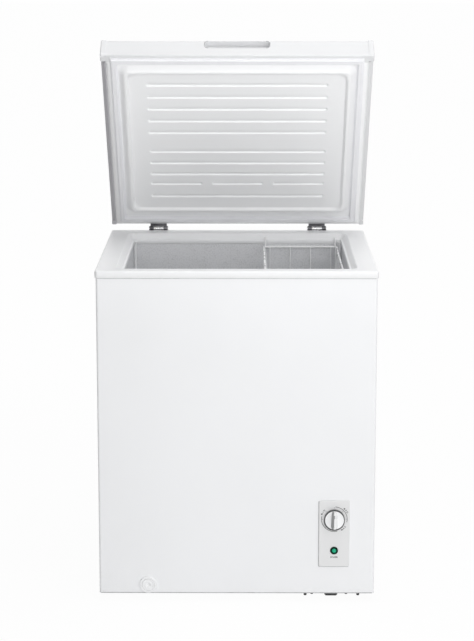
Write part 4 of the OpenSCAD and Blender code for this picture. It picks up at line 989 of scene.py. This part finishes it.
# nodes that show, with the radius of their edges in millimetres
SOFT_NODES = {"lid_outer_shell": 0.8, "lid_handle": 0.7, "left_end_cap": 0.8,
              "right_end_cap": 0.8, "left_lid_trim": 0.6, "right_lid_trim": 0.6,
              "control_panel": 0.9, "drain_housing": 0.6, "left_hinge_channel": 0.4,
              "right_hinge_channel": 0.4, "left_hinge_leaf": 0.4, "right_hinge_leaf": 0.4}


def soften_nodes():
    """Breaks the crisp corners of the nodes that show."""
    for name, radius in SOFT_NODES.items():
        weld = NODES[name].modifiers.new("weld", "WELD")
        weld.merge_threshold = 0.01 * MM
        soft = NODES[name].modifiers.new("soft", "BEVEL")
        soft.limit_method = "ANGLE"
        soft.angle_limit = math.radians(35)
        soft.width = radius * MM
        soft.segments = 2
        soft.use_clamp_overlap = True
        soft.harden_normals = False


def finish_nodes():
    """Gives every CAD node its own finish, or that of the slot that the record names for it."""
    slots = {part["node"]: part["material_slot"] for part in frame["record"]["subparts"]}
    for name, node in NODES.items():
        finish = FINISHES[OWN_FINISH.get(name, slots[name])]
        for own in node.material_slots or [None]:
            if own is None:
                node.data.materials.append(finish)
            else:
                own.material = finish


finish_nodes()
soften_nodes()
add_lid_liner()
add_lid_gasket()
add_top_frame()
add_liner_beads()
add_dial_marks()
add_knob()
add_drain_details()
add_sill_screws()
add_hinge_sleeves()
add_painted_shadow_lines()
add_panel_edge()
add_grip_ends()


# ---------- Stage ----------

def rays_that_look(tree):
    """Socket that is 1 for camera, glossy and transmission rays and 0 for all others."""
    rays = tree.nodes.new("ShaderNodeLightPath")
    seen = rays.outputs["Is Camera Ray"]
    for other in ("Is Glossy Ray", "Is Transmission Ray"):
        either = tree.nodes.new("ShaderNodeMath")
        either.operation = "MAXIMUM"
        tree.links.new(seen, either.inputs[0])
        tree.links.new(rays.outputs[other], either.inputs[1])
        seen = either.outputs[0]
    return seen


def white_to_camera(material, surface, share):
    """Lets the camera and reflections see mostly plain white, and light see the surface."""
    tree = material.node_tree
    seen = rays_that_look(tree)
    part = tree.nodes.new("ShaderNodeMath")
    part.operation = "MULTIPLY"
    part.inputs[1].default_value = share
    tree.links.new(seen, part.inputs[0])
    white = tree.nodes.new("ShaderNodeEmission")
    mix = tree.nodes.new("ShaderNodeMixShader")
    tree.links.new(part.outputs[0], mix.inputs["Fac"])
    tree.links.new(surface, mix.inputs[1])
    tree.links.new(white.outputs[0], mix.inputs[2])
    tree.links.new(mix.outputs[0], tree.nodes["Material Output"].inputs["Surface"])


def add_floor():
    """Wide pale floor that the camera sees as nearly plain white."""
    reach = 30
    mesh = bpy.data.meshes.new("floor")
    corners = [(x * reach, y * reach, 0) for x, y in ((-1, -1), (1, -1), (1, 1), (-1, 1))]
    mesh.from_pydata(corners, [], [(0, 1, 2, 3)])
    floor = bpy.data.objects.new("floor", mesh)
    bpy.context.scene.collection.objects.link(floor)
    material = bpy.data.materials.new("floor_paper")
    material.use_nodes = True
    shader = material.node_tree.nodes["Principled BSDF"]
    shader.inputs["Base Color"].default_value = (0.92, 0.92, 0.92, 1)
    shader.inputs["Roughness"].default_value = 0.9
    shader.inputs["Specular IOR Level"].default_value = 0
    white_to_camera(material, shader.outputs["BSDF"], 0.96)
    mesh.materials.append(material)


def add_world(strength):
    """Even white surroundings, seen as plain white and lighting at their own strength."""
    world = bpy.data.worlds.new("studio")
    bpy.context.scene.world = world
    world.use_nodes = True
    tree = world.node_tree
    seen = rays_that_look(tree)
    level = tree.nodes.new("ShaderNodeMapRange")
    level.inputs["To Min"].default_value = strength
    tree.links.new(seen, level.inputs["Value"])
    background = tree.nodes["Background"]
    background.inputs["Color"].default_value = (1, 1, 1, 1)
    tree.links.new(level.outputs["Result"], background.inputs["Strength"])


def add_flag(name, x, along, top):
    """Dark board beside the object that only bounced light sees, so that its side's edges read."""
    bm = bmesh.new()
    bottom = 0.02
    rows = [[bm.verts.new((x, y, z)) for y in along] for z in (bottom, top)]
    bm.faces.new((rows[0][0], rows[0][1], rows[1][1], rows[1][0]))
    mesh = bpy.data.meshes.new(name)
    bm.to_mesh(mesh)
    bm.free()
    board = Finish(name, (0.03, 0.03, 0.03), 0.9)
    board.mottle((0.04, 0.04, 0.04), board.noise(0.2, 3))
    mesh.materials.append(board.material)
    flag = bpy.data.objects.new(name, mesh)
    bpy.context.scene.collection.objects.link(flag)
    flag.visible_camera = False
    flag.visible_shadow = False
    flag.visible_glossy = False


def add_lamp(name, place, size, watts, target=(0, 0, 0.6), spread=180):
    """Soft rectangular lamp aimed at a point; a narrow spread keeps its light off the rest."""
    data = bpy.data.lights.new(name, "AREA")
    data.shape = "RECTANGLE"
    data.size, data.size_y = size
    data.energy = watts
    data.spread = math.radians(spread)
    lamp = bpy.data.objects.new(name, data)
    lamp.location = place
    lamp.visible_camera = False
    lamp.rotation_euler = (Vector(target) - Vector(place)).to_track_quat("-Z", "Y").to_euler()
    bpy.context.scene.collection.objects.link(lamp)


add_floor()
add_world(0.78)
add_lamp("key_right", (2.0, -3.0, 2.3), (2.0, 2.0), 16)
add_lamp("fill_front", (0.4, -4.0, 0.5), (2.4, 1.0), 21)
add_lamp("overhead", (0.3, -0.6, 5.0), (2.5, 2.5), 47)
add_lamp("lid_lamp", (0.05, -1.3, 1.3), (1.4, 0.8), 0.6, (0, 0.25, 1.25), 40)
add_flag("flag_left", -1.2, (-1.6, 1.4), 2.4)
add_flag("flag_right", 1.5, (-0.6, 1.2), 1.1)
bpy.context.scene.view_settings.view_transform = "Standard"
